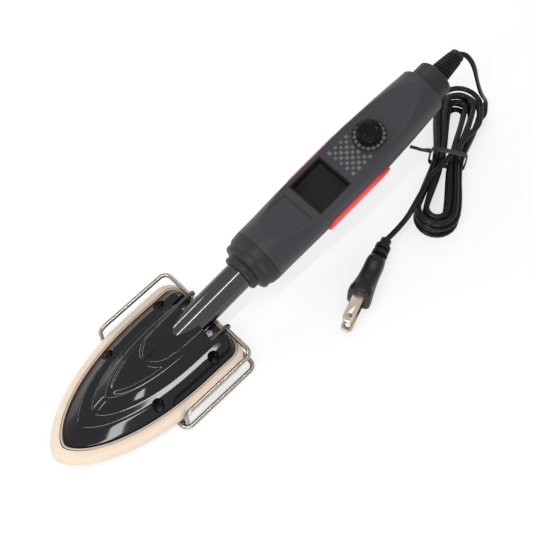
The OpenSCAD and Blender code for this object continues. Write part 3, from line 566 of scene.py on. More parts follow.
def hankLocal(x, y):
    t = math.radians(hank["turn"])
    c, s = math.cos(t), math.sin(t)
    return (hank["mid"][0] + x * c - y * s, hank["mid"][1] + x * s + y * c)


def hankPoint(t):  # t counts the loops: a run, an end, the other run and the other end
    n = hank["layerLoops"]
    m = t - 2 * n * math.floor(t / (2 * n))
    lane = m if m < n else 2 * n - m
    r = hank["radius"] - hank["step"] * lane
    waist = hank["waist"] - hank["waistStep"] * lane
    step = math.floor((t + 0.25) / n)
    if step < 1 or t > cord["loops"] - 0.5:
        layer = min(math.floor(t / n), cord["loops"] / n - 1)
    else:
        c = min(1, max(0, (t + 0.25 - n * step) / 0.5))
        layer = step - 1 + c * c * (3 - 2 * c)
    f = t - math.floor(t)
    c = hank["halfRun"]

    def pinch(x):
        return (r - waist) * (1 + math.cos(math.pi * x / c)) / 2

    if f < 0.25:
        x = c * (1 - 8 * f)
        p = (x, -r + pinch(x))
    elif f < 0.5:
        a = math.radians(270 - 720 * (f - 0.25))
        p = (-c + r * math.cos(a), r * math.sin(a))
    elif f < 0.75:
        x = c * (8 * (f - 0.5) - 1)
        p = (x, r - pinch(x))
    else:
        a = math.radians(90 - 720 * (f - 0.75))
        p = (c + r * math.cos(a), r * math.sin(a))
    x, y = hankLocal(*p)
    return (x, y, hank["low"] + hank["layer"] * layer)


def plugPoint(p):  # along the blades, across their faces, and in their plane
    t = math.radians(plugPlace["turn"])
    return at((plugPlace["face"][0] + p[0] * math.cos(t) + p[2] * math.sin(t),
               plugPlace["face"][1] + p[0] * math.sin(t) - p[2] * math.cos(t), plugPlace["height"] + p[1]))


def tailPoints():
    spots = [(28.2, -13.5, 12.9), (21.8, -12.4, 14.2), (12.7, -7.8, 15.8), (1.8, -2.7, 16.4),
             (-9.1, 2.7, 16.4), (-18.2, 7.8, 16.4)]
    beyond = [(243.2, -31, 16.2), (234, -33.6, 16), (226, -35.2, 12.6), (217.4, -35.8, 10.8)]
    return [at((*hankLocal(x, y), z)) for x, y, z in spots] + [at(p) for p in beyond]


def rounded(points, steps):  # a Catmull-Rom line through the points
    out = []
    n = len(points)
    for i in range(n - 1):
        p0, p1, p2, p3 = points[max(i - 1, 0)], points[i], points[i + 1], points[min(i + 2, n - 1)]
        for s in range(steps):
            t = s / steps
            out.append(((p1 * 2) + (p2 - p0) * t + (p0 * 2 - p1 * 5 + p2 * 4 - p3) * t * t
                        + (p1 * 3 - p0 - p2 * 3 + p3) * t ** 3) * 0.5)
    out.append(points[-1])
    return out


def cordRoute():
    loops = [at(hankPoint(i / cord["perLoop"])) for i in range(cord["perLoop"] * cord["loops"] + 1)]
    neck = plugPoint((-plugPlace["length"] - plugPlace["neck"], 0, 0))
    drop = rounded([onHandle((bootEnd, 0, 0))] + [at(p) for p in dropPoints] + [loops[0]], 4)
    tail = rounded([loops[-1]] + tailPoints() + [neck], 5)
    return drop[:-1] + loops + tail[1:]


def twinOutline(width, thickness):  # two round cores side by side
    a = (width - thickness) / 2
    r = thickness / 2
    right = [(a + r * math.cos(t), r * math.sin(t)) for t in (math.radians(d) for d in range(-110, 111, 20))]
    left = [(-x, -y) for x, y in right]
    waist = r * 0.62
    return right + [(0, waist)] + left + [(0, -waist)]


def addCord(route):
    rings = swept(route, twinOutline(cord["width"] - 0.1, cord["thickness"]), flat=Vector((0, 0, 1)))
    return finish(loft("mainsCord", rings, "cord", sharp=70), "cord_black", "iron",
                  "cord_drop", "cord_hank", "cord_tail")


route = cordRoute()
mainsCord = addCord(route)

tie = {"halfWidth": 10.3, "low": 0.7, "high": 18.3, "turns": 2, "leadZ": 13.6}


def addTie():
    def spot(y, z, x):
        return at((*hankLocal(x, y), z))

    w, lo, hi, z = tie["halfWidth"], tie["low"], tie["high"], tie["leadZ"]
    loop = []
    for k in range(tie["turns"] * 40 + 1):
        a = 2 * math.pi * k / 40
        up = (lo + hi) / 2 + (hi - lo) / 2 * squared(math.sin(a), 0.35)
        loop.append(spot(w * squared(math.cos(a), 0.35), up, -1 + 2 * k / (tie["turns"] * 40)))
    lead = [spot(w + 0.6, z, 0.9), spot(w + 2.2, 13.7, 0.4), spot(w + 5, z, -0.2), spot(w + 8.6, 13.5, 0.2),
            spot(w + 12, z, 0.3)]
    outline = [(0.95, 0), (0.6, 0.42), (-0.6, 0.42), (-0.95, 0), (-0.6, -0.42), (0.6, -0.42)]
    band = loft("tieBand", swept(rounded(loop, 1), outline), "tie", sharp=50)
    strand = loft("tieEnd", swept(rounded(lead, 8), outline), "tie", sharp=50)
    knot = []
    for k in range(61):
        a = 2 * math.pi * k / 12
        knot.append(spot(w + 0.4 + 3.4 * k / 60, z + 0.75 * math.sin(a), 0.75 * math.cos(a)))
    twist = loft("tieTwist", swept(knot, [(0.5, 0), (0, 0.42), (-0.5, 0), (0, -0.42)]), "tie", sharp=50)
    for extra in (strand, twist):
        joinInto(band, extra)
    band.name = "hankTie"
    return finish(band, "tie_black", "iron", "hank_tie")


hankTie = addTie()

# along the plug from its face, half width, half height, and how square the section is
plugSections = [(-39, 2.9, 2.9, 2), (-38.4, 3.0, 3.0, 2), (-35.0, 3.05, 3.05, 2), (-34.8, 4.3, 4.2, 2.2),
                (-32.6, 4.4, 4.3, 2.2), (-32.3, 3.1, 3.1, 2), (-31.0, 3.1, 3.1, 2), (-30.7, 4.55, 4.4, 2.2),
                (-28.5, 4.65, 4.5, 2.2), (-28.2, 3.2, 3.2, 2), (-26.9, 3.3, 3.2, 2), (-26.6, 5.0, 4.6, 2.4),
                (-24.2, 7.4, 5.0, 3.0), (-22.8, 7.95, 5.15, 3.2), (-20.6, 7.8, 5.2, 3.2),
                (-18.4, 6.9, 5.25, 3.0), (-15.6, 6.25, 5.35, 2.8), (-12.6, 6.35, 5.55, 2.8),
                (-9.6, 7.1, 5.85, 3.0), (-7.0, 8.4, 6.15, 3.2), (-4.9, 9.7, 6.4, 3.4),
                (-3.9, 10.3, 6.6, 3.6), (-3.2, 10.35, 6.7, 4), (-0.7, 10.3, 6.7, 4), (-0.15, 10.0, 6.45, 4),
                (0, 9.6, 6.1, 4)]


def addPlug():
    rings = [[plugPoint((x, a * squared(math.cos(t), 2 / n), b * squared(math.sin(t), 2 / n)))
              for t in fullTurn(56)] for x, a, b, n in plugSections]
    body = loft("plugBody", rings, "plug", sharp=45)
    finish(body, "cord_black", "iron", "plug_body")
    outline = softened([(-3.8, -3.1), (15.6, -3.1), (17.4, -1.9), (17.4, 1.9), (15.6, 3.1), (-3.8, 3.1)], 0.5)
    blades = None
    for y in (-6.35, 6.35):
        rings = [[plugPoint((p[0], y + dy, p[1])) for p in outline] for dy in (-0.7, 0.7)]
        blade = loft("blade", rings, "blade")
        carve(blade, rod("hole", (13.5, y - 2, 0), (13.5, y + 2, 0), 1.5, "blade", 32, plugPoint))
        bevelled(blade, 0.16)
        if blades:
            joinInto(blades, blade)
        else:
            blades = blade
    blades.name = "plugBlades"
    return body, finish(blades, "blade_metal", "iron", "plug_blades")


plugBody, plugBlades = addPlug()
print("cord, tie and plug made")


# Outlines in plan of the head: a pointed arch

def arch(x0, x1, w, xm, r, sideSteps, backSteps, acrossBack):  # w wide at xm, corners of radius r at x1
    half = []
    for i in range(sideSteps + 1):
        k = (i / sideSteps) ** 1.7
        half.append((x0 + (xm - x0) * k, w * (1 - (1 - k) ** 2.2) ** 0.62))
    for i in range(backSteps + 1):
        a = math.pi / 2 * i / backSteps
        half.append((x1 - r + r * math.sin(a), w - r + r * math.cos(a)))
    edge = half[-1]
    for i in range(1, acrossBack):
        half.append((edge[0], edge[1] * (1 - i / acrossBack)))
    return half + [(edge[0], 0)] + [(x, -y) for x, y in reversed(half[1:])]


shoe = {"x0": 1.8, "length": 107, "halfWidth": 29.8, "widest": 84, "corner": 11, "bottom": 3.9, "top": 12.9}
cloth = {"thick": 1.1, "gap": 0.1, "fold": 4.2, "low": 2.7, "hem": 1.05}


def sockRing(z, inset, rear, wobble):  # wobble: how much the height wanders, as in pulled cloth
    out = cloth["thick"] + cloth["gap"]
    back = shoe["x0"] + shoe["length"] + out - rear * inset
    points = arch(1.5 * inset, back, shoe["halfWidth"] + out - inset, shoe["widest"],
                  max(2, shoe["corner"] + out - inset), 70, 14, 26)
    ring = []
    for i, (x, y) in enumerate(points):
        wave = 0.5 * math.sin(i * 0.83 + 1.3) + 0.3 * math.sin(i * 0.37) + 0.2 * math.sin(i * 2.1 + 0.7)
        ring.append((x, y, z + wobble * wave))
    return ring


def clothPiece(name, rings, faces, byRow, byColumn, swapped, look, sharp):  # lengths at each row and column
    rows, columns = len(rings), len(rings[0])
    mesh = bpy.data.meshes.new(name)
    mesh.from_pydata([tuple(p) for ring in rings for p in ring], [], faces)
    uv = mesh.uv_layers.new(name="cloth")
    for face in mesh.polygons:
        spots = [divmod(v, columns) for v in face.vertices]
        lastRow = {r for r, c in spots} == {0, rows - 1}  # where the first row or column closes on the last,
        lastColumn = {c for r, c in spots} == {0, columns - 1}  # it counts as one more
        for loop, vertex, (r, c) in zip(face.loop_indices, face.vertices, spots):
            v = byRow[rows if lastRow and r == 0 else r]
            u = byColumn[columns if lastColumn and c == 0 else c]
            uv.data[loop].uv = (v, u) if swapped else (u, v)
            if len(spots) > 4:  # the two flat ends of the sock's body
                uv.data[loop].uv = mesh.vertices[vertex].co.xy
    rework(mesh, faceOut)
    smoothByAngle(mesh, sharp)
    mesh.materials.append(looks[look])
    return newObject(name, mesh)


def runLengths(points, unit=1):  # how far along its line each point is
    out = [0.0]
    for a, b in zip(points, points[1:]):
        out.append(out[-1] + math.dist(a, b) * unit)
    return out


def addSock():
    low, t = cloth["low"], cloth["thick"]
    top = shoe["top"] + cloth["gap"] + t
    # height, inset, its share at the rear, wobble: from under the shoe up the side and round the rim
    rows = [(low, 3, 1, 0), (low + 0.12, 2.3, 1, 0), (low + 0.5, 1.3, 1, 0), (low + 1.1, 0.65, 1, 0),
            (low + 2, 0.25, 1, 0), (low + 3, 0.06, 1, 0), (low + 4.2, 0, 1, 0), (low + 5.6, 0, 1, 0),
            (low + 7, 0, 1, 0), (shoe["top"] - 2, 0.06, 1, 0), (shoe["top"] - 0.9, 0.2, 1, 0.05),
            (shoe["top"], 0.55, 0.95, 0.08), (top - 0.5, 1.0, 0.9, 0.1), (top - 0.2, 1.6, 0.8, 0.1),
            (top - 0.06, 2.2, 0.7, 0.1), (top, 2.9, 0.6, 0.1), (top, 3.7, 0.5, 0.1),
            (top - 0.12, 4.2, 0.45, 0.08), (top - 0.4, cloth["fold"], 0.45, 0.05),
            (shoe["top"] + cloth["gap"], cloth["fold"], 0.45, 0),
            (shoe["top"] + cloth["gap"], 3, 0.6, 0), (shoe["top"] + cloth["gap"], t, 1, 0),
            (shoe["bottom"] - cloth["gap"], t, 1, 0)]
    rings = [sockRing(*row) for row in rows]
    middle = rings[6]
    byRow, byColumn = runLengths([ring[60] for ring in rings], mm), runLengths(middle + middle[:1], mm)
    piece = clothPiece("clothSock", [[at(p) for p in ring] for ring in rings],
                       cappedFaces(len(rings), len(middle)), byRow, byColumn, False, "sock", 60)
    return finish(piece, "knit_cloth", "iron", "sock")


sock = addSock()


def addHem():  # rolled edge of the cloth, held down by a drawn thread
    ring = sockRing(shoe["top"] + cloth["gap"] + 0.62, cloth["fold"] + 0.72, 0.55, 0.05)
    line = [at(p) for p in ring] + [at(ring[0])]
    path = rounded(line, 2)
    d, sides = cloth["hem"], 12
    rings = swept(path[:-1], roundOutline(d, sides), flat=Vector((0, 0, 1)))
    byColumn = [c / sides * math.pi * d * mm for c in range(sides + 1)]
    piece = clothPiece("rolledHem", rings, bandFaces(len(rings), sides, wrapped=True), runLengths(path),
                       byColumn, True, "hem", 80)
    return finish(piece, "hem_cloth", "iron", "sock_hem")


hem = addHem()
print("sock made")

cover = {"x0": 8.7, "x1": 106.2, "halfWidth": 25.2, "widest": 84, "notchX": 96.6, "notchY": 15.4, "wall": 1.2,
         "tubeFrom": 76.0, "tubeRadius": 8.15}
wells = {"spots": [(54.5, 19.4), (92, 20.8)], "radius": 3.2, "cup": 4.2, "floor": 14.5}
coverRows = [  # height, nose inset, side inset, rear inset: the flat bands and slopes between them
    (12.9, 0, 0, 0), (13.9, 0.2, 0, 0), (19.5, 9.4, 4.3, 1.0), (20.3, 10.8, 5.0, 1.6), (21.1, 19.4, 9.4, 2.0),
    (21.9, 20.6, 10.4, 2.0), (24.9, 28.0, 12.6, 2.0), (25.7, 29.4, 13.6, 2.0), (25.9, 32.0, 14.8, 2.0),
    (26.7, 34.4, 15.8, 2.0), (26.7, 37.0, 18.0, 2.2), (26.6, 42.0, 21.0, 2.6), (26.5, 50.0, 24.2, 3.0)]
# the hump over the tube
fairing = {"nose": 76.5, "top": 28.6, "half": 8.2, "flare": 0.1, "draw": 0.72, "slope": 1.1, "blend": 0.9}


def coverRing(row, skin):  # skin: how far inside the outer face
    z, nose, side, rear = row
    flat = arch(cover["x0"] + nose + 1.3 * skin, cover["x1"] - rear - skin, cover["halfWidth"] - side - skin,
                cover["widest"], max(0.3, min(5, cover["halfWidth"] - side - skin - 0.2)), 56, 10, 22)
    return [(x, y, z - (skin if z > 13.95 else 0)) for x, y in flat]


def smoothMin(a, b, k):  # the lesser of two with a soft change over; with k under nought, the greater
    h = max(0.0, min(1.0, 0.5 + 0.5 * (b - a) / k))
    return b * (1 - h) + a * h - k * h * (1 - h)


def fairingHeight(x, y):
    ahead = max(0.0, fairing["nose"] - x) * fairing["draw"]
    half = fairing["half"] + fairing["flare"] * max(0.0, x - fairing["nose"])
    d = math.hypot(ahead, y) - half
    return fairing["top"] - 0.008 * y * y - fairing["slope"] * max(0.0, d) - 0.05 * max(0.0, d) ** 2


def coverRings(skin):
    rings = [coverRing(row, skin) for row in coverRows]
    flat = [rings[0]]
    for below, ring, above in zip(rings, rings[1:], rings[2:]):  # a small curve in place of each inner ring
        curves = []
        for a, b, c in zip(below, ring, above):
            a, b, c = Vector(a), Vector(b), Vector(c)
            la, lc = (a - b).length or 1, (c - b).length or 1
            start = b + (a - b) * min(0.9, la * 0.42) / la
            stop = b + (c - b) * min(0.9, lc * 0.42) / lc
            curves.append(cornerCurve(start, b, stop, 3))
        flat += zip(*curves)
    flat.append(rings[-1])
    dense = []
    for a, b in zip(flat, flat[1:]):
        gap = max(math.dist(p, q) for p, q in zip(a, b))
        parts = max(1, min(6, round(gap / 1.2)))
        for s in range(parts):
            t = s / parts
            dense.append([tuple(Vector(p) * (1 - t) + Vector(q) * t) for p, q in zip(a, b)])
    dense.append(flat[-1])
    out = []
    for row in dense:
        ring = []
        for x, y, z in row:
            if abs(y) < cover["notchY"] and x > cover["notchX"] - skin:
                x = cover["notchX"] - skin
            if z > 19.0:
                z = smoothMin(z, fairingHeight(x, y) - skin, -fairing["blend"])
            ring.append((x, y, z))
        out.append(ring)
    return out


def bothSides(spots):
    return [(x, s * y) for x, y in spots for s in (-1, 1)]


def addCover():
    outer = loft("shoeCover", [[at(p) for p in ring] for ring in coverRings(0)], "cover", sharp=50)
    inner = loft("coverInside", [[at((x, y, z - (0.4 if i == 0 else 0))) for x, y, z in ring]
                                 for i, ring in enumerate(coverRings(cover["wall"]))], "cover")
    for x, y in bothSides(wells["spots"]):
        carve(inner, rod("cup", (x, y, 12), (x, y, 30), wells["cup"], "cover"))
    carve(outer, inner)
    for x, y in bothSides(wells["spots"]):
        carve(outer, rod("well", (x, y, wells["floor"]), (x, y, 30), wells["radius"], "cover", 64))
    base = (cover["tubeFrom"] - iron["collarX"]) / math.cos(tilt)
    carve(outer, rod("tubeWay", (base, 0, 0), (0, 0, 0), cover["tubeRadius"], "cover", 96, onHandle))
    smoothByAngle(outer.data, 42)
    return finish(outer, "black_cover", "iron", "shoe_cover")


shoeCover = addCover()
print("cover made:", len(shoeCover.data.polygons), "faces")

screw = {"head": 4.9, "height": 1.5, "shank": 1.28, "tip": 10.4, "turns": [0.3, 1.1, 0.7, 0.1]}


def screwHead():  # a pan head with a cross recess, its seat at nought
    head, height = screw["head"], screw["height"]
    outline = softened([(0.01, 0), (head / 2, 0), (head / 2, height * 0.55), (head / 2 * 0.62, height),
                        (0.01, height)], 0.4)
    profile = [(0.0005, 0.0)] + [p for p in outline if p[0] > 0.02] + [(0.0005, height)]
    piece = turned("screwHead", profile, lambda u, a, b: Vector((a * mm, b * mm, u * mm)), "darkScrew", 40)
    for turn in (0, math.pi / 2):
        slot = boxPiece("slot", (-head * 0.29, -head * 0.07, height * 0.35),
                        (head * 0.29, head * 0.07, height * 2), "darkScrew", loose)
        slot.data.transform(Matrix.Rotation(turn, 4, "Z"))
        carve(piece, slot)
    return piece


def addCoverScrews():
    spots = bothSides(wells["spots"])
    seats = [at((x, y, wells["floor"])) for x, y in spots]
    turns = [(0, 0, turn) for turn in screw["turns"]]
    heads = copies("coverScrews", seats, turns, screwHead(), "darkScrew")
    for x, y in spots:
        joinInto(heads, rod("shank", (x, y, screw["tip"]), (x, y, 14.6), screw["shank"], "darkScrew", 24))
    return finish(heads, "dark_screw", "iron", "cover_screws")


addCoverScrews()

tube = {"front": (77.4 - iron["collarX"]) / math.cos(tilt) + 0.1, "back": 38, "outer": 8, "inner": 7,
        "footZ": 15.9}


def addTube():
    profile = softened([(tube["inner"], tube["front"]), (tube["outer"], tube["front"]),
                        (tube["outer"], tube["back"]), (tube["inner"], tube["back"])], 0.12, 2)
    piece = turned("stemTube", profile, alongHandle, "tube", 128)
    carve(piece, boxPiece("scarf", (60, -12, 0), (120, 12, tube["footZ"]), "tube"))
    smoothByAngle(piece.data)
    return finish(piece, "black_tube", "iron", "stem_tube")


addTube()


# Stand of bright wire

stand = {"wire": 2.4, "bend": 4.2, "railY": 32.6, "footY": 34.4, "pivotX": 108, "pivotZ": 17.5,
         "railLength": 47, "footLeft": 22, "earY": 12.65, "hookY": 14.6,
         "footGap": 0.05}


def bentLine(corners, radius):  # straight runs joined by round bends
    out = [Vector(corners[0])]
    for a, b, c in zip(corners, corners[1:], corners[2:]):
        a, b, c = Vector(a), Vector(b), Vector(c)
        start = b + (a - b).normalized() * radius
        stop = b + (c - b).normalized() * radius
        centre = start + stop - b
        for s in range(11):
            t = math.pi / 2 * s / 10
            out.append(centre + (start - centre) * math.cos(t) + (stop - centre) * math.sin(t))
    out.append(Vector(corners[-1]))
    return out


def wirePiece(name, corners):
    line = [at(p) for p in bentLine(corners, stand["bend"])]
    return loft(name, swept(line, roundOutline(stand["wire"], 28)), "wire", sharp=50)


def addStand():
    x1, z1, y = stand["pivotX"], stand["pivotZ"], stand["railY"]
    x0, z0 = x1 - stand["railLength"], stand["wire"] / 2
    ear = stand["earY"] - 0.9
    rails = wirePiece("standRails", [(x1, ear, z1), (x1, y, z1), (x0, y, z1), (x0, y, z0), (x0, -y, z0),
                                     (x0, -y, z1), (x1, -y, z1), (x1, -ear, z1)])
    finish(rails, "wire", "stand", "stand_rails")
    fx1, fx0 = x1 + 0.6, x0 - stand["wire"] - stand["footGap"]
    hook, left, right = stand["hookY"], stand["footLeft"], stand["footY"]
    foot = wirePiece("standFoot", [(fx0, left, z0), (fx0, -right, z0), (fx1, -right, z0), (fx1, -hook, z0)])
    finish(foot, "wire", "stand", "stand_foot")


addStand()
print("stand made")


# Handle: a turned shape cut down to a ramp and a deck on top

handle = {"flat": 16.8, "softness": 16, "thumbDepth": 0.7, "thumbFront": 25.7, "step": 46, "thumbHalf": 10,
          "thumbCorner": 6, "pocket": (50.5, 74.0, 11.75), "middle": 80, "wall": 1.5}
# along the handle, and the radius or the height of the cut there
turnedRadii = [(15, 16.3), (20, 16.3), (26, 16.3), (34, 16.6), (40, 16.75), (46, 16.9), (60, 17), (94, 17),
               (101, 16.5), (107, 16.2), (112, 15.9), (118, 15.6), (123, 15.2), (129, 14.8), (134, 14.4),
               (141.4, 13.9)]
topLine = [(19.5, 16.3), (46, 10), (112, 10), (138, 14.2), (150, 16)]


def between(line, u):
    for (u0, r0), (u1, r1) in zip(line, line[1:]):
        if u <= u1:
            return r0 + (r1 - r0) * max(0.0, (u - u0) / (u1 - u0))
    return line[-1][1]


def softRadius(u):
    return sum(between(turnedRadii, u + d) for d in (-3, -1.5, 0, 1.5, 3)) / 5


def bodyRadius(u, angle):  # distance of the skin from the handle's axis
    p = handle["softness"]
    c, s = abs(math.cos(angle)), abs(math.sin(angle))
    return (softRadius(u) ** -p + (c / handle["flat"]) ** p + (s / handle["flat"]) ** p) ** (-1 / p)


def skinReach(u, other, grow=0.0):  # how far the skin stands out on one axis, from its place on the other
    p, soft, flat = handle["softness"], softRadius(u) + grow, handle["flat"] + grow
    low, high = 0.0, flat
    for _ in range(18):
        z = (low + high) / 2
        if (math.hypot(other, z) / soft) ** p + (abs(other) / flat) ** p + (z / flat) ** p < 1:
            low = z
        else:
            high = z
    return low


def insideThumb(u, y):  # signed distance into the thumb panel's outline
    r = handle["thumbCorner"]
    du = handle["thumbFront"] + r - u
    dy = abs(y) - (handle["thumbHalf"] - r)
    corner = r - math.hypot(max(du, 0), max(dy, 0)) - min(max(du, dy), 0)
    return min(corner, handle["step"] - u)


def step01(x, width):
    t = max(0.0, min(1.0, 0.5 + x / width))
    return t * t * (3 - 2 * t)


def deckHeight(u):  # the flat cut that limits the skin on top, none at the very front
    return between(topLine, u) if u > 19 else 99


def topHeight(u, y):
    z = skinReach(u, y)
    ceiling = deckHeight(u)
    z = smoothMin(z, ceiling, 0.3)
    hollow = ceiling - handle["thumbDepth"]
    return z + (min(z, hollow) - z) * step01(insideThumb(u, y), 0.5)


def spread(marks, widest):  # fills the gaps between the marks with even steps
    out = []
    for a, b in zip(marks, marks[1:]):
        n = max(1, math.ceil((b - a) / widest))
        out += [a + (b - a) * i / n for i in range(n)]
    return out + [marks[-1]]


def addTopShell():
    uLow, uHigh, yEdge = handle["pocket"]
    stations = spread([15, 15.3, 19.5, 25.2, 25.45, 25.7, 25.95, 26.2, 45.5, 45.75, 46, 46.25, uLow, uHigh,
                       110, 112, 114, 138, 141.1, 141.4], 0.75)
    half = spread([0, 9.75, 10, 10.25, yEdge, 13.7], 0.4)
    columns = [-y for y in reversed(half[1:])] + half
    sideSteps = 16
    rows = []
    for u in stations:
        edge = min(columns[-1], softRadius(u) - 0.4)
        start = math.atan2(skinReach(u, edge), edge)
        flank = [start * (1 - math.sin(math.pi / 2 * i / sideSteps)) for i in range(1, sideSteps + 1)]
        right = [(-bodyRadius(u, a) * math.cos(a), bodyRadius(u, a) * math.sin(a)) for a in flank]
        left = [(-y, z) for y, z in right]
        middle = [(y, topHeight(u, y)) for y in (max(-edge, min(edge, c)) for c in columns)]
        across = right[::-1] + middle + left
        rows.append([(u, y, max(0.03, min(z, deckHeight(u)))) for y, z in across])
    points = [p for row in rows for p in row]

    def overPocket(face):
        a, b, d = points[face[0]], points[face[1]], points[face[3]]
        return uLow < (a[0] + d[0]) / 2 < uHigh and abs((a[1] + b[1]) / 2) < yEdge and a[2] > 8

    faces = [face for face in bandFaces(len(rows), len(rows[0]), False) if not overPocket(face)]
    piece = shellPiece("handleTop", points, faces, "handleTop")
    smoothByAngle(piece.data, 30)
    return finish(piece, "handle_plastic", "iron", "handle_top_shell")


def shellPiece(name, points, faces, look):  # an open sheet on the handle, made a wall thick inwards
    piece = meshPiece(name, [onHandle(p) for p in points], faces, look, 60)
    middle = onHandle((handle["middle"], 0, 0))

    def turnOut(work):  # its faces look away from the middle
        work.normal_update()
        lean = sum((f.calc_center_median() - middle).dot(f.normal) * f.calc_area() for f in work.faces)
        if lean < 0:
            bmesh.ops.reverse_faces(work, faces=work.faces)

    rework(piece.data, turnOut)
    shell = piece.modifiers.new("wall", "SOLIDIFY")
    shell.thickness = handle["wall"] * mm
    shell.offset = -1
    shell.use_even_offset = False
    return bakeDown(piece)


recess = {"spots": [(45, 10), (130.8, 7.6)], "radius": 2.7, "floor": -8.8}


def addBottomShell():
    stations = spread([15, 15.3, 20, 46, 60, 94, 112, 141.1, 141.4], 3)
    points = []
    steps = 80
    for u in stations:
        for i in range(steps + 1):
            a = math.pi * i / steps
            r = bodyRadius(u, a)
            points.append((u, r * math.cos(a), min(-0.03, -r * math.sin(a))))
    piece = shellPiece("handleBottom", points, bandFaces(len(stations), steps + 1, False), "handleUnder")
    for u, y in bothSides(recess["spots"]):
        carve(piece, rod("recess", (u, y, -30), (u, y, recess["floor"]), recess["radius"], "handleUnder", 40,
                         onHandle))
    smoothByAngle(piece.data, 50)
    return finish(piece, "handle_plastic", "iron", "handle_bottom_shell")


addTopShell()
addBottomShell()
print("handle shells made")


def addTurnedEnds():
    nose = [(8.1, 0), (10, 0), (10.6, 0.8), (10.6, 3.6), (13.6, 4.4), (14.6, 5.4), (14.6, 8.4), (15.6, 9.8),
            (16.1, 14.9), (13.6, 14.9), (13.6, 17.9), (8.1, 17.9)]
    cap = [(4.3, 138.6), (11.1, 138.6), (11.1, 141.4), (13.7, 141.4), (13.3, 142.4), (11.4, 143),
           (10.75, 143.8), (10.75, 151.9), (9.75, 152.9), (4.3, 152.9)]
    ends = (("noseCollar", "nose_collar", nose, 0.45), ("endCap", "end_cap", cap, 0.5))
    for name, node, profile, cut in ends:
        piece = turned(name, softened(profile, cut), alongHandle, "collar", 120)
        finish(piece, "collar_plastic", "iron", node)


boot = {"start": 152.9, "wide": 12.4, "narrow": 8.4, "ribs": 9}


def addBoot():
    length = bootEnd - boot["start"]
    pitch = (length - 3) / boot["ribs"]
    outline = [(1.75, 140.6), (4.15, 140.6), (4.15, boot["start"])]
    for i in range(boot["ribs"]):
        u = boot["start"] + i * pitch
        r = boot["wide"] / 2 + (boot["narrow"] - boot["wide"]) / 2 * (u - boot["start"]) / length
        outline += [(r - 0.25, u + 0.05), (r, u + 0.3), (r, u + pitch * 0.5), (r - 0.3, u + pitch * 0.58),
                    (r - 1.1, u + pitch * 0.66), (r - 1.1, u + pitch * 0.97)]
    outline += [(4.2, 168), (4.2, 169.9), (3.5, 170.8), (1.75, bootEnd)]
    piece = turned("cordBoot", outline, alongHandle, "plug", 72, 32)
    return finish(piece, "cord_black", "iron", "strain_relief")


addTurnedEnds()
addBoot()

tray = {"low": (50.6, -11.65, 3.15), "high": (73.9, 11.65, 9.98), "wellLow": (51.5, -10.75, 4),
        "wellHigh": (73, 10.75, 20)}


def addTray():
    piece = boxPiece("displayTray", tray["low"], tray["high"], "tray", onHandle)
    carve(piece, boxPiece("hollow", tray["wellLow"], tray["wellHigh"], "tray", onHandle))
    bevelled(piece, 0.22)
    return finish(piece, "tray_plastic", "iron", "display_tray")


addTray()

strip = {"start": 50.5, "upper": [(0, -1.6), (5, 1), (38.5, 1), (46.5, -1.2)],
         "lower": [(0, -2.4), (2.6, -7.4), (43.5, -7.4), (46.5, -2)], "thick": 1.5, "gap": 0.06}


def addStrips():  # a band that lies on the skin
    for side, name, node in ((1, "redStripLeft", "red_strip_left"), (-1, "redStripRight", "red_strip_right")):
        rings = []
        for k in spread([0, 1, 2.6, 5, 38.5, 43.5, 45.5, 46.5], 1.5):
            u, low, high = strip["start"] + k, between(strip["lower"], k), between(strip["upper"], k)
            heights = [low + (high - low) * i / 14 for i in range(15)]
            outer = [(u, side * skinReach(u, h, strip["gap"] + strip["thick"]), h) for h in heights]
            inner = [(u, side * skinReach(u, h, strip["gap"]), h) for h in reversed(heights)]
            rings.append([onHandle(p) for p in outer + inner])
        piece = loft(name, rings, "red")
        bevelled(piece, 0.35, 3)
        finish(piece, "red_inlay", "iron", node)


addStrips()


# Dial: knob with fine ribs, its face and the printed squares round it

# u is where its axis stands along the handle
dial = {"u": 100, "knob": 14, "height": 5, "ribs": 44, "base": 10.85, "deck": 10}


def onDial(u, a, b):  # turned about the dial's own axis
    return onHandle((dial["u"] + a, b, u))


def addKnob():
    r, z = dial["knob"] / 2 - 0.22, dial["base"]
    top = z + dial["height"]
    profile = softened([(3.06, z), (r, z), (r, top - 1.1), (r - 1.0, top), (r - 2.0, top),
                        (r - 2.8, top - 0.7), (0.002, top - 0.55), (0.002, top - 1.4),
                        (3.06, top - 1.4)], 0.3)
    knob = turned("dialKnob", profile, onDial, "knob", 132, 40)
    ridge = loft("ridge", [[Vector((x * mm, y * mm, h * mm)) for x, y in roundOutline(0.62, 8)]
                           for h in (0.1, 0.25, 3.6, 4.3)], "knob")
    spots = [onDial(z, (r - 0.08) * math.cos(a), (r - 0.08) * math.sin(a)) for a in fullTurn(dial["ribs"])]
    joinInto(knob, copies("ridges", spots, [(0, -tilt, 0)] * len(spots), ridge, "knob"))
    pointer = boxPiece("pointer", (dial["u"] - 5.2, -0.35, top - 0.7), (dial["u"] - 2.0, 0.35, top - 0.35),
                       "dialFace", onHandle)
    bevelled(pointer, 0.1)
    finish(pointer, "dial_face", "dial")
    return finish(knob, "knob_plastic", "dial", "dial_knob")


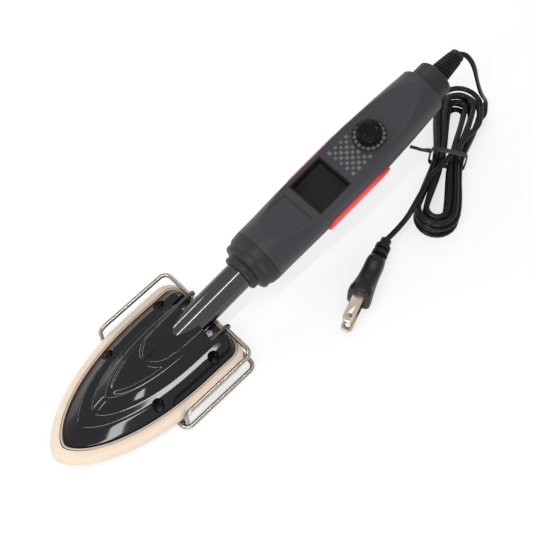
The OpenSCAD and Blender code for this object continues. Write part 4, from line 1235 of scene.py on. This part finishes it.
def addDialPlate():
    z = dial["deck"]
    profile = softened([(3.6, z), (9.5, z), (9.5, z + 0.3), (9.3, z + 0.5), (8.95, z + 0.5), (8.8, z + 0.28),
                        (8.4, z + 0.28), (8.25, z + 0.5), (3.6, z + 0.5)], 0.12, 2)
    plate = turned("dialPlate", profile, onDial, "dialFace", 128)
    return finish(plate, "dial_face", "iron", "dial_plate")


marks = {"pitch": 4.3, "size": 1.75, "sizeSpread": 0.3, "seed": 7, "thin": 0.05, "from": 78.6, "half": 9.4,
         "clear": 10.8, "ring": 7.75, "onDial": 18}


def addMarks():
    template = boxPiece("mark", (-0.5, -0.5, 0), (0.5, 0.5, marks["thin"] / marks["size"]), "print", loose)
    spots = []
    for i in range(14):
        for j in range(-3, 4):
            u = marks["from"] + i * marks["pitch"] / 2
            y = j * marks["pitch"] + (marks["pitch"] / 2 if i % 2 else 0)
            if math.hypot(u - dial["u"], y) > marks["clear"] and abs(y) < marks["half"]:
                spots.append(onHandle((u, y, dial["deck"] + 0.01)))
    for a in fullTurn(marks["onDial"]):
        spots.append(onDial(dial["deck"] + 0.51, marks["ring"] * math.cos(a), marks["ring"] * math.sin(a)))
    piece = copies("printedSquares", spots, [(0, -tilt, 0)] * len(spots), template, "print", marks["size"],
                   marks["sizeSpread"], marks["seed"])
    return finish(piece, "dial_face", "iron")


addKnob()
addDialPlate()
addMarks()
print("dial made")

carried = {
    "shoe": "coating", "heating_element": "element", "insulation_sheet": "mineral", "clamp_plate": "steel",
    "clamp_screws": "steel", "thermal_fuse": "ceramic", "temperature_sensor": "amber",
    "stand_bracket": "bracket", "bracket_screws": "steel", "tube_flange": "steel",
    "flange_screws": "steel", "heater_leads": "whiteLead", "sensor_lead": "yellowLead",
    "shell_screws": "steel", "circuit_board": "board", "potentiometer": "bluePart", "triac": "blackPart",
    "heat_sink": "aluminium", "capacitor": "ochre", "resistors": "tan", "terminal_block": "palePlastic",
    "tube_clamp": "collar", "tube_clamp_screws": "steel", "mains_leads": "greyLead",
    "cord_clamp": "collar", "cord_clamp_screws": "steel", "dial_shaft": "aluminium",
}
for name, look in carried.items():
    part = nodes[name]
    part.data.materials.clear()
    part.data.materials.append(looks[look])
